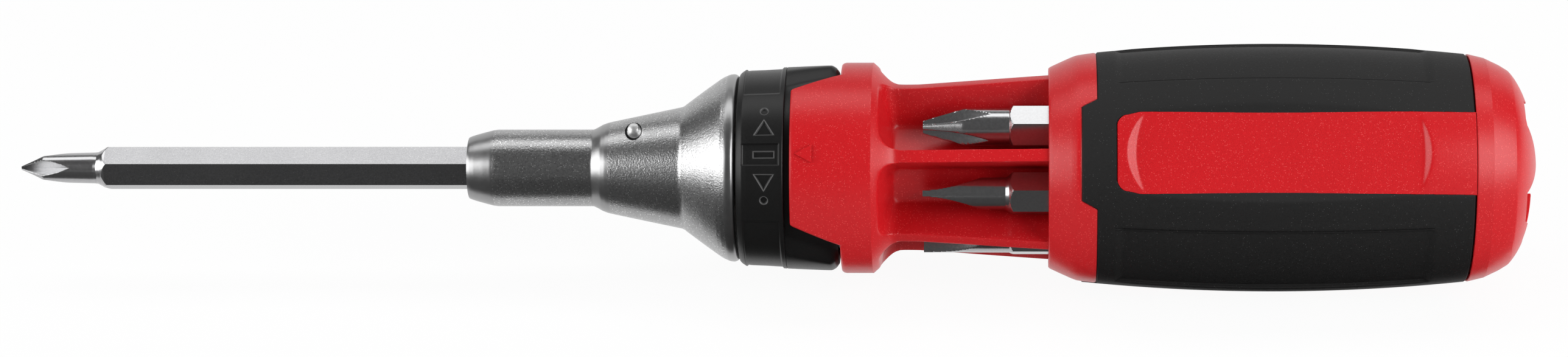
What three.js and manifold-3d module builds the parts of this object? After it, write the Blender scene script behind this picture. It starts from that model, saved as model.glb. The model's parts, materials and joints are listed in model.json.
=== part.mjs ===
import * as THREE from "three";
import { mergeVertices } from "three/addons/utils/BufferGeometryUtils.js";
import Module from "manifold-3d";

const wasm = await Module();
wasm.setup();

// Lengths are millimetres. A station is a distance along the axis, from the butt (0) to the tip.

// Lengths along the axis, from the butt forward
const CAP_LENGTH = 11.0;
const GRIP_LENGTH = 59.45;
const FLANGE_LENGTH = 7.65;
const WAIST_LENGTH = 28.3;
const COLLAR_LENGTH = 5.0;
const TONGUE_LENGTH = 8.6;
const RING_BAND = 7.65;
const NOSE_LENGTH = 44.1;
const SHAFT_REACH = 74.1;

// Radii of the outside
const BARREL_CROWN = 20.0;
const BARREL_ARC = 300;
const FLANGE_RADIUS = 16.2;
const RIB_RADIUS_REAR = 15.75;
const RIB_RADIUS_FRONT = 14.2;
const COLLAR_RADIUS = 17.1;
const RING_RADIUS = COLLAR_RADIUS - 0.9;
const NOSE_RIM = 15.26;
const NOSE_BARREL = 6.26;

// Grip and its three panels
const GRIP_WALL = 1.9;
const TAB_LENGTH = 2.45;
const PANEL_COUNT = 3;
const PANEL_HALF = 6.6;
const PANEL_NOSE_HALF = 5.3;
const PANEL_PLANE = BARREL_CROWN - 1.85;
const RIDGE_RECESS = 0.35;

// Stored bits and the hex drive, 1/4 in across flats
const HEX_FLATS = 6.35;
const BIT_COUNT = 6;
const BIT_CIRCLE = 10.7;
const BIT_LENGTH = 25;
const SOCKET_DEPTH = 4.9;
const SQUARE_SMALL = 2.3;
const SQUARE_LARGE = 2.8;
const RIB_HALF = 1.02;
const POCKET_FLOOR = 7.0;

// Ratchet, from the ring inward to the spindle
const HOUSING_RADIUS = 0.8025 * RING_RADIUS;
const HOUSING_WALL = 0.9;
const PAWL_PIVOT = 0.746 * HOUSING_RADIUS;
const PAWL_PIN = 1.2;
const PAWL_SPREAD = 52.5;
const GEAR_TEETH = 24;
const GEAR_TIP = 0.7115 * PAWL_PIVOT;
const GEAR_ROOT = 0.797 * GEAR_TIP;
const TAIL_RADIUS = 0.618 * GEAR_ROOT;
const SEAT_FLATS = 2 * TAIL_RADIUS + 0.2;
const SPINDLE_RADIUS = 0.87 * GEAR_TIP;

// Rest angles about the axis in degrees, from the panel toward +X of this group
const DRIVE_ROLL = -7.4;
const HEX_ROLL = -24;
const SELECT_STEP = 16;
const TONGUE_FRONT_HALF = 40.5;
const TONGUE_REAR_HALF = 56;

// Clearances
const FIT = 0.15;
const SEAT = 0.1;
const SEGMENTS = 48;
const FEW = 24;

// Stations
const CAP_SEAM = CAP_LENGTH;
const GRIP_FRONT = CAP_SEAM + GRIP_LENGTH;
const TAB_FRONT = GRIP_FRONT + TAB_LENGTH;
const FLANGE_FACE = GRIP_FRONT + FLANGE_LENGTH;
const COLLAR_REAR = FLANGE_FACE + WAIST_LENGTH;
const COLLAR_FRONT = COLLAR_REAR + COLLAR_LENGTH;
const TONGUE_FRONT = COLLAR_FRONT + TONGUE_LENGTH;
const RING_REAR = TONGUE_FRONT + 2 * FIT;
const RING_FRONT = RING_REAR + RING_BAND;
const NOSE_REAR = RING_FRONT + 2 * FIT;
const NOSE_FRONT = NOSE_REAR + NOSE_LENGTH;
const TIP = NOSE_FRONT + SHAFT_REACH;
const BUTT_FLOOR = 2.0;
const BARREL_CENTRE = (CAP_SEAM + FLANGE_FACE) / 2 - 2;
const CORE_RADIUS = 13.4;
// A thick-walled core, so that the tool balances over its handle and lies still
const CAVITY_RADIUS = 5.0;
const CAVITY_FRONT = GRIP_FRONT - 1.5;
const BIT_REAR = FLANGE_FACE - SOCKET_DEPTH;
const BIT_TIP = BIT_REAR + BIT_LENGTH;
const POCKET_FRONT = BIT_TIP + SOCKET_DEPTH + 0.35;
const POCKET_LIP = POCKET_FRONT + 1.8;
const HOUSING_REAR = COLLAR_REAR + 1.0;
const FLOOR_TOP = HOUSING_REAR + 4.0;
const GEAR_REAR = FLOOR_TOP + 4 * SEAT;
const COVER_REAR = RING_FRONT - 3.7;
const GEAR_FRONT = COVER_REAR - 3 * SEAT;
const COVER_FRONT = COVER_REAR + 1.7;
const WASHER_REAR = COVER_FRONT + 3 * SEAT;
const WASHER_FRONT = WASHER_REAR + 0.9;
const HUB_FACE = WASHER_FRONT + 3 * SEAT;
const TAIL_REAR = HOUSING_REAR - 3.0;
const WELL_REAR = TAIL_REAR - 0.9;
const SOCKET_BOTTOM = NOSE_FRONT - 8.9;
const SHAFT_HEX_REAR = SOCKET_BOTTOM + SEAT;
const SHAFT_TIP_LENGTH = 14.0;
const SHANK_RADIUS = 0.394 * HEX_FLATS;
const MAGNET_RADIUS = SHANK_RADIUS + 0.4;
const SHAFT_HEX_FRONT = TIP - SHAFT_TIP_LENGTH;
const SHAFT_REAR = SHAFT_HEX_REAR - SHAFT_TIP_LENGTH;
const MAGNET_LENGTH = 1.6;
const MAGNET_REAR = SHAFT_REAR - MAGNET_LENGTH - 3 * SEAT;
const SPINDLE_FRONT = MAGNET_REAR - 3 * SEAT;
const PIN_STATION = SPINDLE_FRONT - 2.3;
const PIN_RADIUS = 1.35;
const PIN_OFFSET = SPINDLE_RADIUS - 0.1;
const CLIP_STATION = SOCKET_BOTTOM + 4.5;
const CLIP_RADIUS = HEX_FLATS / Math.sqrt(3) + 0.83;

// Radii of the selector
const BORE_RADIUS = HOUSING_RADIUS + FIT + SEAT;
const SLEEVE_RADIUS = BORE_RADIUS + 1.65;
const TONGUE_BORE = SLEEVE_RADIUS + 3 * FIT;
const WING_RADIUS = RING_RADIUS + 0.5;
const PLUNGER_RADIUS = 1.2;
const PLUNGER_TIP = PAWL_PIVOT + 2.05;
const PLUNGER_STATION = COLLAR_FRONT + 5.5;
const PLUNGER_HEAD = BORE_RADIUS + 0.65;
const SPRING_TOP = WING_RADIUS - 1.1;
const PRESS_TRAVEL = 0.4;

// Roll about the axis that lays the tool on one of its panels
const REST_ROLL = -60;

const radians = (degrees) => (degrees * Math.PI) / 180;
const sine = (degrees) => Math.sin(radians(degrees));
const cosine = (degrees) => Math.cos(radians(degrees));
const across = (share) => share * HEX_FLATS;
const along = (share) => share * BIT_LENGTH;

const MATERIALS = {
  red_plastic: { color: 0xb81218, metalness: 0, roughness: 0.45 },
  black_rubber: { color: 0x2b2b2b, metalness: 0, roughness: 0.8 },
  black_plastic: { color: 0x1c1c1c, metalness: 0, roughness: 0.4 },
  satin_chrome: { color: 0xb9babd, metalness: 1, roughness: 0.35 },
  tool_steel: { color: 0x6d6f73, metalness: 1, roughness: 0.4 },
  spring_steel: { color: 0x55585d, metalness: 1, roughness: 0.3 },
  bronze: { color: 0xa87b45, metalness: 1, roughness: 0.4 },
  magnet: { color: 0x8f9296, metalness: 1, roughness: 0.25 },
};

// A closed solid from a surface, its faces turned outward
function solid(geometry) {
  const bare = geometry.clone();
  bare.deleteAttribute("normal");
  bare.deleteAttribute("uv");
  const merged = mergeVertices(bare, 1e-4);
  const points = merged.attributes.position.array;
  const corners = merged.index.array;
  const kept = [];
  let volume = 0;
  for (let i = 0; i < corners.length; i += 3) {
    const [a, b, c] = [corners[i], corners[i + 1], corners[i + 2]];
    if (a === b || b === c || c === a) continue;
    kept.push(a, b, c);
    const [p, q, r] = [a, b, c].map((k) => new THREE.Vector3().fromArray(points, 3 * k));
    volume += p.dot(q.cross(r));
  }
  if (volume < 0) kept.reverse();
  const vertProperties = new Float32Array(points);
  const triVerts = new Uint32Array(kept);
  return new wasm.Manifold(new wasm.Mesh({ numProp: 3, vertProperties, triVerts }));
}

// The surface of a closed solid
function skin(body) {
  const mesh = body.getMesh();
  const geometry = new THREE.BufferGeometry();
  geometry.setAttribute("position", new THREE.BufferAttribute(mesh.vertProperties, 3));
  geometry.setIndex(new THREE.BufferAttribute(mesh.triVerts, 1));
  return geometry;
}

// A named mesh from a closed solid
function piece(name, body, slot) {
  const geometry = skin(body);
  geometry.computeVertexNormals();
  const result = new THREE.Mesh(geometry, new THREE.MeshStandardMaterial(MATERIALS[slot]));
  result.name = name;
  return result;
}

// A solid of revolution about the axis from rows of radius and station
function turned(rows, segments = SEGMENTS) {
  const points = rows.map(([radius, station]) => new THREE.Vector2(radius, station));
  return new THREE.LatheGeometry(points, segments);
}

function rod(radius, from, to, segments = FEW) {
  return turned([[0, from], [radius, from], [radius, to], [0, to]], segments);
}

function tube(inner, outer, from, to, segments = FEW) {
  return turned([[inner, from], [outer, from], [outer, to], [inner, to], [inner, from]], segments);
}

function extruded(outline, depth) {
  const shape = new THREE.Shape(outline.map(([a, b]) => new THREE.Vector2(a, b)));
  return new THREE.ExtrudeGeometry(shape, { depth, bevelEnabled: false, steps: 1 });
}

// A bar along the axis from an outline in X and Z
function prism(outline, from, to) {
  const flat = outline.map(([x, z]) => [x, -z]);
  return extruded(flat, to - from).rotateX(-Math.PI / 2).translate(0, from, 0);
}

// A block standing along Z from an outline in X and station
function plank(outline, low, high) {
  return extruded(outline, high - low).translate(0, 0, low);
}

// A block lying across X from an outline in station and Z
function slab(outline, half) {
  const turn = new THREE.Matrix4().set(0, 0, 1, 0, 1, 0, 0, 0, 0, 1, 0, 0, 0, 0, 0, 1);
  return extruded(outline, 2 * half).translate(0, 0, -half).applyMatrix4(turn);
}

function about(geometry, degrees) {
  return geometry.rotateY(radians(degrees));
}

function arc(radius, from, to, steps) {
  const points = [];
  for (let i = 0; i <= steps; i += 1) {
    const angle = from + ((to - from) * i) / steps;
    points.push([radius * sine(angle), radius * cosine(angle)]);
  }
  return points;
}

function sector(inner, outer, half, steps = 8) {
  return [...arc(outer, -half, half, steps), ...arc(inner, half, -half, steps)];
}

function circle(radius, x, z, sides = 16) {
  return arc(radius, 0, 360 - 360 / sides, sides - 1).map(([a, b]) => [a + x, b + z]);
}

function square(half) {
  return [[-half, -half], [half, -half], [half, half], [-half, half]];
}

function hexagon(flats) {
  return arc(flats / Math.sqrt(3), 30, 330, 5);
}

function union(first, ...others) {
  return others.reduce((sum, next) => sum.add(solid(next)), solid(first));
}

function cut(body, ...cutters) {
  return cutters.reduce((rest, next) => rest.subtract(solid(next)), body);
}

function repeat(count, make) {
  return Array.from({ length: count }, (_, i) => make(i));
}

const panelAngles = repeat(PANEL_COUNT, (i) => (360 / PANEL_COUNT) * i);
const pocketAngles = repeat(BIT_COUNT, (i) => (360 / BIT_COUNT) * (i + 0.5));

// The barrel's radius under the hand, a long arc around its crown
function barrel(station) {
  const off = station - BARREL_CENTRE;
  return BARREL_CROWN - BARREL_ARC + Math.sqrt(BARREL_ARC ** 2 - off ** 2);
}

function barrelRows(from, to, count, inset) {
  return repeat(count + 1, (i) => {
    const station = from + ((to - from) * i) / count;
    return [barrel(station) - inset, station];
  });
}

// Outline of a panel seen from above, grown by a margin
function panelOutline(rear, margin) {
  const half = PANEL_HALF + margin;
  const tip = PANEL_NOSE_HALF + margin;
  const front = GRIP_FRONT - 3.0 + margin;
  const shoulder = GRIP_FRONT - 6.75 + margin;
  return [[-half, rear], [half, rear], [half, shoulder], [tip, front], [-tip, front], [-half, shoulder]];
}

// Outline of the grip's tab ahead of a panel, grown by a margin
function tabOutline(margin) {
  const wide = BARREL_CROWN * 0.443 + margin;
  const narrow = BARREL_CROWN * 0.379 + margin;
  const rear = GRIP_FRONT - 1.0;
  const front = TAB_FRONT + margin;
  return [[-wide, rear], [wide, rear], [wide, GRIP_FRONT + margin], [narrow, front],
    [-narrow, front], [-wide, GRIP_FRONT + margin]];
}

// The hollow that leaves a panel flat between its two end ramps
function panelHollow() {
  const rear = CAP_SEAM + 7.6;
  const front = GRIP_FRONT - 6.4;
  const top = BARREL_CROWN + 2;
  const rise = top - PANEL_PLANE;
  const outline = [[rear, PANEL_PLANE], [front, PANEL_PLANE], [front + 1.9 * rise, top],
    [rear - 1.6 * rise, top]];
  return slab(outline, PANEL_HALF + 3);
}

function pocketCutter(angle) {
  const half = 180 / BIT_COUNT;
  const top = COLLAR_RADIUS + 1;
  const side = (radius) => radius * Math.tan(radians(half)) - RIB_HALF / cosine(half);
  const cross = [[-side(POCKET_FLOOR), POCKET_FLOOR], [side(POCKET_FLOOR), POCKET_FLOOR],
    [side(top), top], [-side(top), top]];
  const along = [[FLANGE_FACE, POCKET_FLOOR - 1], [POCKET_FRONT, POCKET_FLOOR - 1],
    [POCKET_FRONT, POCKET_FLOOR + 1], [POCKET_LIP, COLLAR_RADIUS - 1.5], [POCKET_LIP + 1, top],
    [FLANGE_FACE, top]];
  const body = prism(cross, FLANGE_FACE, POCKET_LIP + 2);
  const limit = slab(along, top);
  return solid(about(body, angle)).intersect(solid(about(limit, angle)));
}

function storageSocket(angle) {
  const hole = prism(hexagon(HEX_FLATS + 2 * FIT), BIT_REAR - 2 * SEAT, FLANGE_FACE + 1);
  return about(hole.translate(0, 0, BIT_CIRCLE), angle);
}

// A wedge about +Z with radial sides that close in from the rear angle to the front angle
function wedge(rearHalf, frontHalf, from, to) {
  const block = new THREE.BoxGeometry(2, 1, 2, 1, 5, 1).translate(0, 0.5, 0);
  const place = block.attributes.position;
  for (let i = 0; i < place.count; i += 1) {
    const [side, along] = [Math.sign(place.getX(i)), place.getY(i)];
    const reach = place.getZ(i) > 0 ? 2 * COLLAR_RADIUS : 2;
    const half = rearHalf + (frontHalf - rearHalf) * along;
    place.setXYZ(i, side * reach * sine(half), from + (to - from) * along, reach * cosine(half));
  }
  return block;
}

// Two tongues that reach forward over the selector, opposite each other
function tongues() {
  const root = COLLAR_FRONT - 1.2;
  const shell = turned([[TONGUE_BORE, root], [COLLAR_RADIUS, root], [COLLAR_RADIUS, TONGUE_FRONT - 0.6],
    [COLLAR_RADIUS - 0.5, TONGUE_FRONT], [TONGUE_BORE, TONGUE_FRONT], [TONGUE_BORE, root]]);
  const plan = [0, 180].flatMap((angle) => [
    about(wedge(TONGUE_REAR_HALF, TONGUE_FRONT_HALF, COLLAR_FRONT - SEAT, TONGUE_FRONT + SEAT), angle),
    about(wedge(TONGUE_REAR_HALF, TONGUE_REAR_HALF, root - SEAT, COLLAR_FRONT), angle),
  ]);
  return solid(shell).intersect(union(...plan));
}

// Raised triangle on the upper tongue that shows which drive direction is set
function pointer() {
  const front = TONGUE_FRONT - 0.9;
  const rear = front - 2.7;
  return plank([[-1.4, rear], [1.4, rear], [0, front]], COLLAR_RADIUS - 1, COLLAR_RADIUS + 0.2);
}

function keys(margin, from, to) {
  const half = 1.5 + margin;
  const reach = HOUSING_RADIUS + 1.2 + margin;
  const bar = [[-half, HOUSING_RADIUS - 1], [half, HOUSING_RADIUS - 1], [half, reach], [-half, reach]];
  return repeat(4, (i) => about(prism(bar, from, to), 45 + 90 * i));
}

function handleBody() {
  const rear = CAP_SEAM + SEAT;
  const seat = GRIP_WALL + SEAT;
  const cavity = BORE_RADIUS;
  const rows = [
    [0, CAVITY_FRONT], [CAVITY_RADIUS, CAVITY_FRONT], [CAVITY_RADIUS, rear],
    ...barrelRows(rear, GRIP_FRONT + SEAT, 6, seat),
    [barrel(GRIP_FRONT) - 0.1, GRIP_FRONT + SEAT],
    [barrel(TAB_FRONT) - 0.3, TAB_FRONT],
    [barrel(TAB_FRONT) - 0.55, TAB_FRONT + 0.8],
    [FLANGE_RADIUS + 0.8, FLANGE_FACE - 1.7], [FLANGE_RADIUS + 0.15, FLANGE_FACE - 0.4],
    [FLANGE_RADIUS - 0.1, FLANGE_FACE],
    [RIB_RADIUS_REAR, FLANGE_FACE], [RIB_RADIUS_FRONT, COLLAR_REAR - 7.4],
    [RIB_RADIUS_FRONT + 0.1, COLLAR_REAR - 4.7],
    [RIB_RADIUS_FRONT + 0.6, COLLAR_REAR - 3.1], [COLLAR_RADIUS - 1.48, COLLAR_REAR - 2.0],
    [COLLAR_RADIUS - 0.19, COLLAR_REAR - 0.4], [COLLAR_RADIUS, COLLAR_REAR],
    [COLLAR_RADIUS, COLLAR_FRONT - 0.4], [COLLAR_RADIUS - 0.25, COLLAR_FRONT],
    [cavity, COLLAR_FRONT], [cavity, HOUSING_REAR - SEAT],
    [TAIL_RADIUS + 2.0, HOUSING_REAR - SEAT], [TAIL_RADIUS + 2.0, WELL_REAR], [0, WELL_REAR],
  ];
  const shell = cut(solid(turned(rows)), ...panelAngles.map((angle) => {
    return about(plank(tabOutline(SEAT), barrel(GRIP_FRONT) - seat, BARREL_CROWN + 1), angle);
  }));
  const bars = panelAngles.map((angle) => {
    const plan = about(plank(panelOutline(rear, 0), CORE_RADIUS + 1, BARREL_CROWN + 1), angle);
    const skin = turned([[0, rear], ...barrelRows(rear, GRIP_FRONT, 8, 0), [0, GRIP_FRONT]]);
    return solid(plan).intersect(solid(skin)).subtract(solid(about(panelHollow(), angle)));
  });
  const joined = bars.reduce((sum, bar) => sum.add(bar), shell.add(tongues()).add(solid(pointer())));
  const hollowed = pocketAngles.reduce((rest, angle) => rest.subtract(pocketCutter(angle)), joined);
  const slots = keys(FIT, HOUSING_REAR - SEAT, COLLAR_FRONT + 0.1);
  const body = cut(hollowed, ...pocketAngles.map(storageSocket), ...slots);
  return piece("handle_body", body, "red_plastic");
}

// The rubber sleeve: a barrel with three shallow recessed bands, windows for the panels and front tabs
function grip() {
  const rear = CAP_SEAM + 2 * SEAT;
  const outer = barrelRows(rear, GRIP_FRONT, 12, 0);
  const inner = barrelRows(rear, GRIP_FRONT, 6, GRIP_WALL).reverse();
  const sleeve = turned([...outer, ...inner, outer[0]]);
  const place = sleeve.attributes.position;
  for (let i = 0; i < place.count; i += 1) {
    const [x, station, z] = [place.getX(i), place.getY(i), place.getZ(i)];
    const radius = Math.hypot(x, z);
    const turn = THREE.MathUtils.euclideanModulo((Math.atan2(x, z) * 180) / Math.PI, 120);
    const inBand = turn > 38 && turn < 82;
    const alongBand = station > CAP_SEAM + 7 && station < GRIP_FRONT - 4;
    if (inBand && alongBand && radius > barrel(station) - 0.5 * GRIP_WALL) {
      const scale = (radius - RIDGE_RECESS) / radius;
      place.setXYZ(i, x * scale, station, z * scale);
    }
  }
  const tabs = panelAngles.map((angle) => {
    const low = barrel(GRIP_FRONT) - GRIP_WALL;
    const plan = solid(about(plank(tabOutline(0), low, BARREL_CROWN + 1), angle));
    const skin = [[0, GRIP_FRONT - 2], [barrel(GRIP_FRONT), GRIP_FRONT - 2],
      [barrel(GRIP_FRONT) - 0.1, GRIP_FRONT], [barrel(TAB_FRONT) - 0.3, TAB_FRONT], [0, TAB_FRONT]];
    return plan.intersect(solid(turned(skin)));
  });
  const whole = tabs.reduce((sum, tab) => sum.add(tab), solid(sleeve));
  const slope = [[-PANEL_HALF - 0.1, PANEL_PLANE], [PANEL_HALF + 0.1, PANEL_PLANE],
    [PANEL_HALF + 1.3, PANEL_PLANE + 0.9], [PANEL_HALF + 1.3, BARREL_CROWN + 1],
    [-PANEL_HALF - 1.3, BARREL_CROWN + 1], [-PANEL_HALF - 1.3, PANEL_PLANE + 0.9]];
  const openings = panelAngles.flatMap((angle) => {
    const window = plank(panelOutline(0, SEAT), CORE_RADIUS, BARREL_CROWN + 1);
    const chamfer = prism(slope, CAP_SEAM + 5, GRIP_FRONT - 7);
    return [about(window, angle), about(chamfer, angle)];
  });
  return piece("grip_sleeve", cut(whole, ...openings), "black_rubber");
}

// Three-armed recess in the butt, between three long lands and three blunt ones
function buttRecess() {
  const rim = CORE_RADIUS - 0.7;
  const outline = panelAngles.flatMap((angle) => [
    ...arc(4.5, angle, angle, 1).slice(0, 1), ...arc(rim, angle + 25.7, angle + 49.6, 4),
    ...arc(rim - 1.6, angle + 60, angle + 60, 1).slice(0, 1), ...arc(rim, angle + 70.4, angle + 94.3, 4),
  ]);
  return prism(outline, -1, BUTT_FLOOR);
}

function endCap() {
  const face = CAP_SEAM - SEAT;
  const spigot = CAVITY_RADIUS - FIT;
  const edge = barrel(CAP_SEAM);
  const inside = BUTT_FLOOR + 0.27 * CAP_LENGTH;
  const depth = CAP_SEAM + 0.73 * CAP_LENGTH;
  const wide = 0.943 * edge;
  const tall = 0.7 * CAP_LENGTH;
  const dome = repeat(7, (i) => {
    const radius = 0.86 * edge * (1 - i / 6);
    return [radius, tall - tall * Math.sqrt(1 - (radius / wide) ** 2)];
  });
  const rows = [
    [0, inside], [spigot - 2, inside], [spigot - 2, depth], [spigot, depth],
    [spigot, face], [edge, face], [0.986 * edge, 0.885 * CAP_LENGTH], [0.967 * edge, 0.755 * CAP_LENGTH],
    [0.904 * edge, 0.536 * CAP_LENGTH], ...dome,
  ];
  return piece("end_cap", cut(solid(turned(rows)), buttRecess()), "red_plastic");
}

// A flank's half width at a height, on the line from the ridge's edge down to its foot on the sleeve
function flank(ridgeHalf, footHalf, height) {
  const [ridge] = arc(WING_RADIUS, ridgeHalf, ridgeHalf, 1);
  const [foot] = arc(SLEEVE_RADIUS, footHalf, footHalf, 1);
  const slope = (foot[0] - ridge[0]) / (ridge[1] - foot[1]);
  return ridge[0] + slope * (ridge[1] - height);
}

// A thumb wing: a ridge behind the ring's band with flanks that slope down to the sleeve
function wing(angle) {
  const rear = COLLAR_FRONT + 0.5;
  const frontFoot = 90 - TONGUE_FRONT_HALF - SELECT_STEP + 2.5;
  const rearFoot = 90 - TONGUE_REAR_HALF - SELECT_STEP + 1.5;
  const block = new THREE.BoxGeometry(2, 1, 2, 1, 5, 1).translate(0, 0.5, 0);
  const place = block.attributes.position;
  for (let i = 0; i < place.count; i += 1) {
    const [side, along] = [Math.sign(place.getX(i)), place.getY(i)];
    const height = place.getZ(i) > 0 ? WING_RADIUS + 0.6 : SLEEVE_RADIUS - 5;
    const foot = rearFoot + (frontFoot - rearFoot) * along;
    const half = flank(foot - 7 - 4.5 * along, foot, height);
    place.setXYZ(i, side * half, rear + (RING_REAR + 0.5 - rear) * along, height);
  }
  const skin = [[0, rear], [WING_RADIUS - 1.2, rear], [WING_RADIUS - 0.3, rear + 0.7],
    [WING_RADIUS, rear + 1.7], [RING_RADIUS + 0.15, RING_REAR + 0.6], [0, RING_REAR + 0.6]];
  return solid(about(block, angle)).intersect(solid(turned(skin)));
}

function marks() {
  const station = (RING_REAR + RING_FRONT) / 2 + 0.4;
  const low = RING_RADIUS - 0.45;
  const high = RING_RADIUS + 1;
  const box = [[-0.6, station - 1.7], [0.6, station - 1.7], [0.6, station + 1.7], [-0.6, station + 1.7]];
  const lock = plank(box, low, high);
  const arrows = [-1, 1].flatMap((way) => {
    const corners = [[-1.2, station - 1.55], [1.4, station], [-1.2, station + 1.55]];
    const arrow = plank(corners.map(([x, s]) => [way * x, s]), low, high);
    const dot = plank(circle(0.6, way * 2.9, station, 10), low - 0.15, high);
    return [about(arrow, way * SELECT_STEP), about(dot, way * SELECT_STEP)];
  });
  return [lock, ...arrows];
}

function selectorRing() {
  const rear = COLLAR_FRONT + 0.5;
  const rows = [
    [BORE_RADIUS, rear], [SLEEVE_RADIUS, rear], [SLEEVE_RADIUS, RING_REAR], [RING_RADIUS + 0.18, RING_REAR],
    [RING_RADIUS - 0.05, RING_FRONT - 1.8], [RING_RADIUS - 0.2, RING_FRONT - 1.0],
    [RING_RADIUS - 0.9, RING_FRONT], [BORE_RADIUS, RING_FRONT], [BORE_RADIUS, rear],
  ];
  const ring = [90, -90].reduce((sum, angle) => sum.add(wing(angle)), solid(turned(rows)));
  const pockets = [90, -90].map((angle) => {
    const hole = rod(PLUNGER_RADIUS + FIT, BORE_RADIUS - 1, SPRING_TOP + SEAT, 16).rotateX(Math.PI / 2);
    return about(hole.translate(0, PLUNGER_STATION, 0), angle);
  });
  const bore = rod(BORE_RADIUS, rear - 1, RING_FRONT + 1, SEGMENTS);
  return piece("selector_ring", cut(ring, bore, ...pockets, ...marks()), "black_plastic");
}

function plunger(name, angle) {
  const rows = [[0, PLUNGER_TIP], [0.6, PLUNGER_TIP + 0.15], [PLUNGER_RADIUS, PLUNGER_TIP + 0.9],
    [PLUNGER_RADIUS, PLUNGER_HEAD], [0, PLUNGER_HEAD]];
  const body = turned(rows, 14).rotateX(Math.PI / 2).translate(0, PLUNGER_STATION, 0);
  return piece(name, solid(about(body, angle)), "tool_steel");
}

class Coil extends THREE.Curve {
  constructor(radius, low, high, turns) {
    super();
    Object.assign(this, { radius, low, high, turns });
  }

  getPoint(t, target = new THREE.Vector3()) {
    const angle = 2 * Math.PI * this.turns * t;
    const height = this.low + (this.high - this.low) * t;
    return target.set(this.radius * Math.cos(angle), this.radius * Math.sin(angle), height);
  }
}

function plungerSpring(name, angle) {
  const wire = 0.14;
  const low = PLUNGER_HEAD + PRESS_TRAVEL + wire + SEAT;
  const path = new Coil(PLUNGER_RADIUS - 0.3, low, SPRING_TOP - wire - SEAT, 2);
  const shape = new THREE.Shape(circle(wire, 0, 0, 5).map(([a, b]) => new THREE.Vector2(a, b)));
  const body = new THREE.ExtrudeGeometry(shape, { steps: 30, extrudePath: path, bevelEnabled: false });
  return piece(name, solid(about(body.translate(0, PLUNGER_STATION, 0), angle)), "spring_steel");
}

// A rod across the axis where the cross pin locks the nose to the spindle
function crossRod(radius, low, high) {
  return rod(radius, low, high, 16).rotateX(Math.PI / 2).translate(PIN_OFFSET, PIN_STATION, 0);
}

// The die-cast nose: an outer shape with an annular pocket behind, bored for the spindle and the drive
function nose() {
  const step = NOSE_FRONT - 20.4;
  const rows = [
    [0, HUB_FACE], [SPINDLE_RADIUS + 2, HUB_FACE], [SPINDLE_RADIUS + 2, NOSE_REAR + 4],
    [SPINDLE_RADIUS + 3, NOSE_REAR + 4], [NOSE_RIM - 3, NOSE_REAR + 1.5], [NOSE_RIM - 2.4, NOSE_REAR],
    [NOSE_RIM - 0.3, NOSE_REAR], [NOSE_RIM - 0.1, NOSE_REAR + 0.35], [NOSE_RIM, NOSE_REAR + 0.7],
    [NOSE_RIM - 0.1, NOSE_REAR + 1.5], [NOSE_RIM - 0.45, NOSE_REAR + 2.3],
    [NOSE_RIM - 0.86, NOSE_REAR + 3.0],
    [NOSE_BARREL + 4.0, NOSE_REAR + 8.6], [NOSE_BARREL + 3.5, NOSE_REAR + 9.6],
    [NOSE_BARREL + 1.28, step - 3.1], [NOSE_BARREL + 1.08, step - 2.3], [NOSE_BARREL + 0.34, step - 0.7],
    [NOSE_BARREL, step], [NOSE_BARREL, NOSE_FRONT - 4.7], [NOSE_BARREL - 0.1, NOSE_FRONT - 4.0],
    [NOSE_BARREL - 0.84, NOSE_FRONT - 1.2], [NOSE_BARREL - 1.3, NOSE_FRONT], [0, NOSE_FRONT],
  ];
  const hole = crossRod(PIN_RADIUS + SEAT, -9.5, 9.5);
  const body = cut(solid(turned(rows, 36)),
    rod(SPINDLE_RADIUS + SEAT, HUB_FACE - 1, SPINDLE_FRONT + SEAT),
    rod(MAGNET_RADIUS + FIT, SPINDLE_FRONT, SHAFT_REAR - SEAT, 20),
    rod(SHANK_RADIUS + 3 * FIT, SHAFT_REAR - 2 * SEAT, SOCKET_BOTTOM + 0.1, 20),
    about(prism(hexagon(HEX_FLATS + FIT), SOCKET_BOTTOM, NOSE_FRONT + 1), HEX_ROLL),
    rod(CLIP_RADIUS + FIT, CLIP_STATION - SEAT, CLIP_STATION + 0.8 + SEAT, 24),
    about(hole, DRIVE_ROLL));
  return piece("nose_housing", body, "satin_chrome");
}

function bitClip() {
  const ring = [...arc(CLIP_RADIUS, -160, 160, 20), ...arc(CLIP_RADIUS - 0.65, 160, -160, 20)];
  return piece("bit_clip", solid(prism(ring, CLIP_STATION, CLIP_STATION + 0.8)), "spring_steel");
}

function socketMagnet() {
  const disc = rod(MAGNET_RADIUS, MAGNET_REAR, MAGNET_REAR + MAGNET_LENGTH, 20);
  return piece("socket_magnet", solid(disc), "magnet");
}

function spindlePin() {
  const pin = crossRod(PIN_RADIUS, -5.4, 2.6);
  return piece("spindle_pin", solid(about(pin, DRIVE_ROLL)), "tool_steel");
}

function spindle() {
  const groove = TAIL_REAR + 1.2;
  const tail = turned([[0, TAIL_REAR], [TAIL_RADIUS - 0.3, TAIL_REAR], [TAIL_RADIUS, TAIL_REAR + 0.4],
    [TAIL_RADIUS, groove], [TAIL_RADIUS - 0.7, groove], [TAIL_RADIUS - 0.7, groove + 0.9],
    [TAIL_RADIUS, groove + 0.9], [TAIL_RADIUS, GEAR_REAR + 1], [0, GEAR_REAR + 1]], FEW);
  const seat = prism(hexagon(SEAT_FLATS), GEAR_REAR + SEAT, COVER_REAR);
  const front = rod(SPINDLE_RADIUS, COVER_REAR - SEAT, SPINDLE_FRONT);
  const notch = crossRod(PIN_RADIUS + SEAT, -8, 8);
  const body = cut(union(tail, seat, front), about(notch, DRIVE_ROLL));
  return piece("drive_spindle", body, "tool_steel");
}

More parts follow.
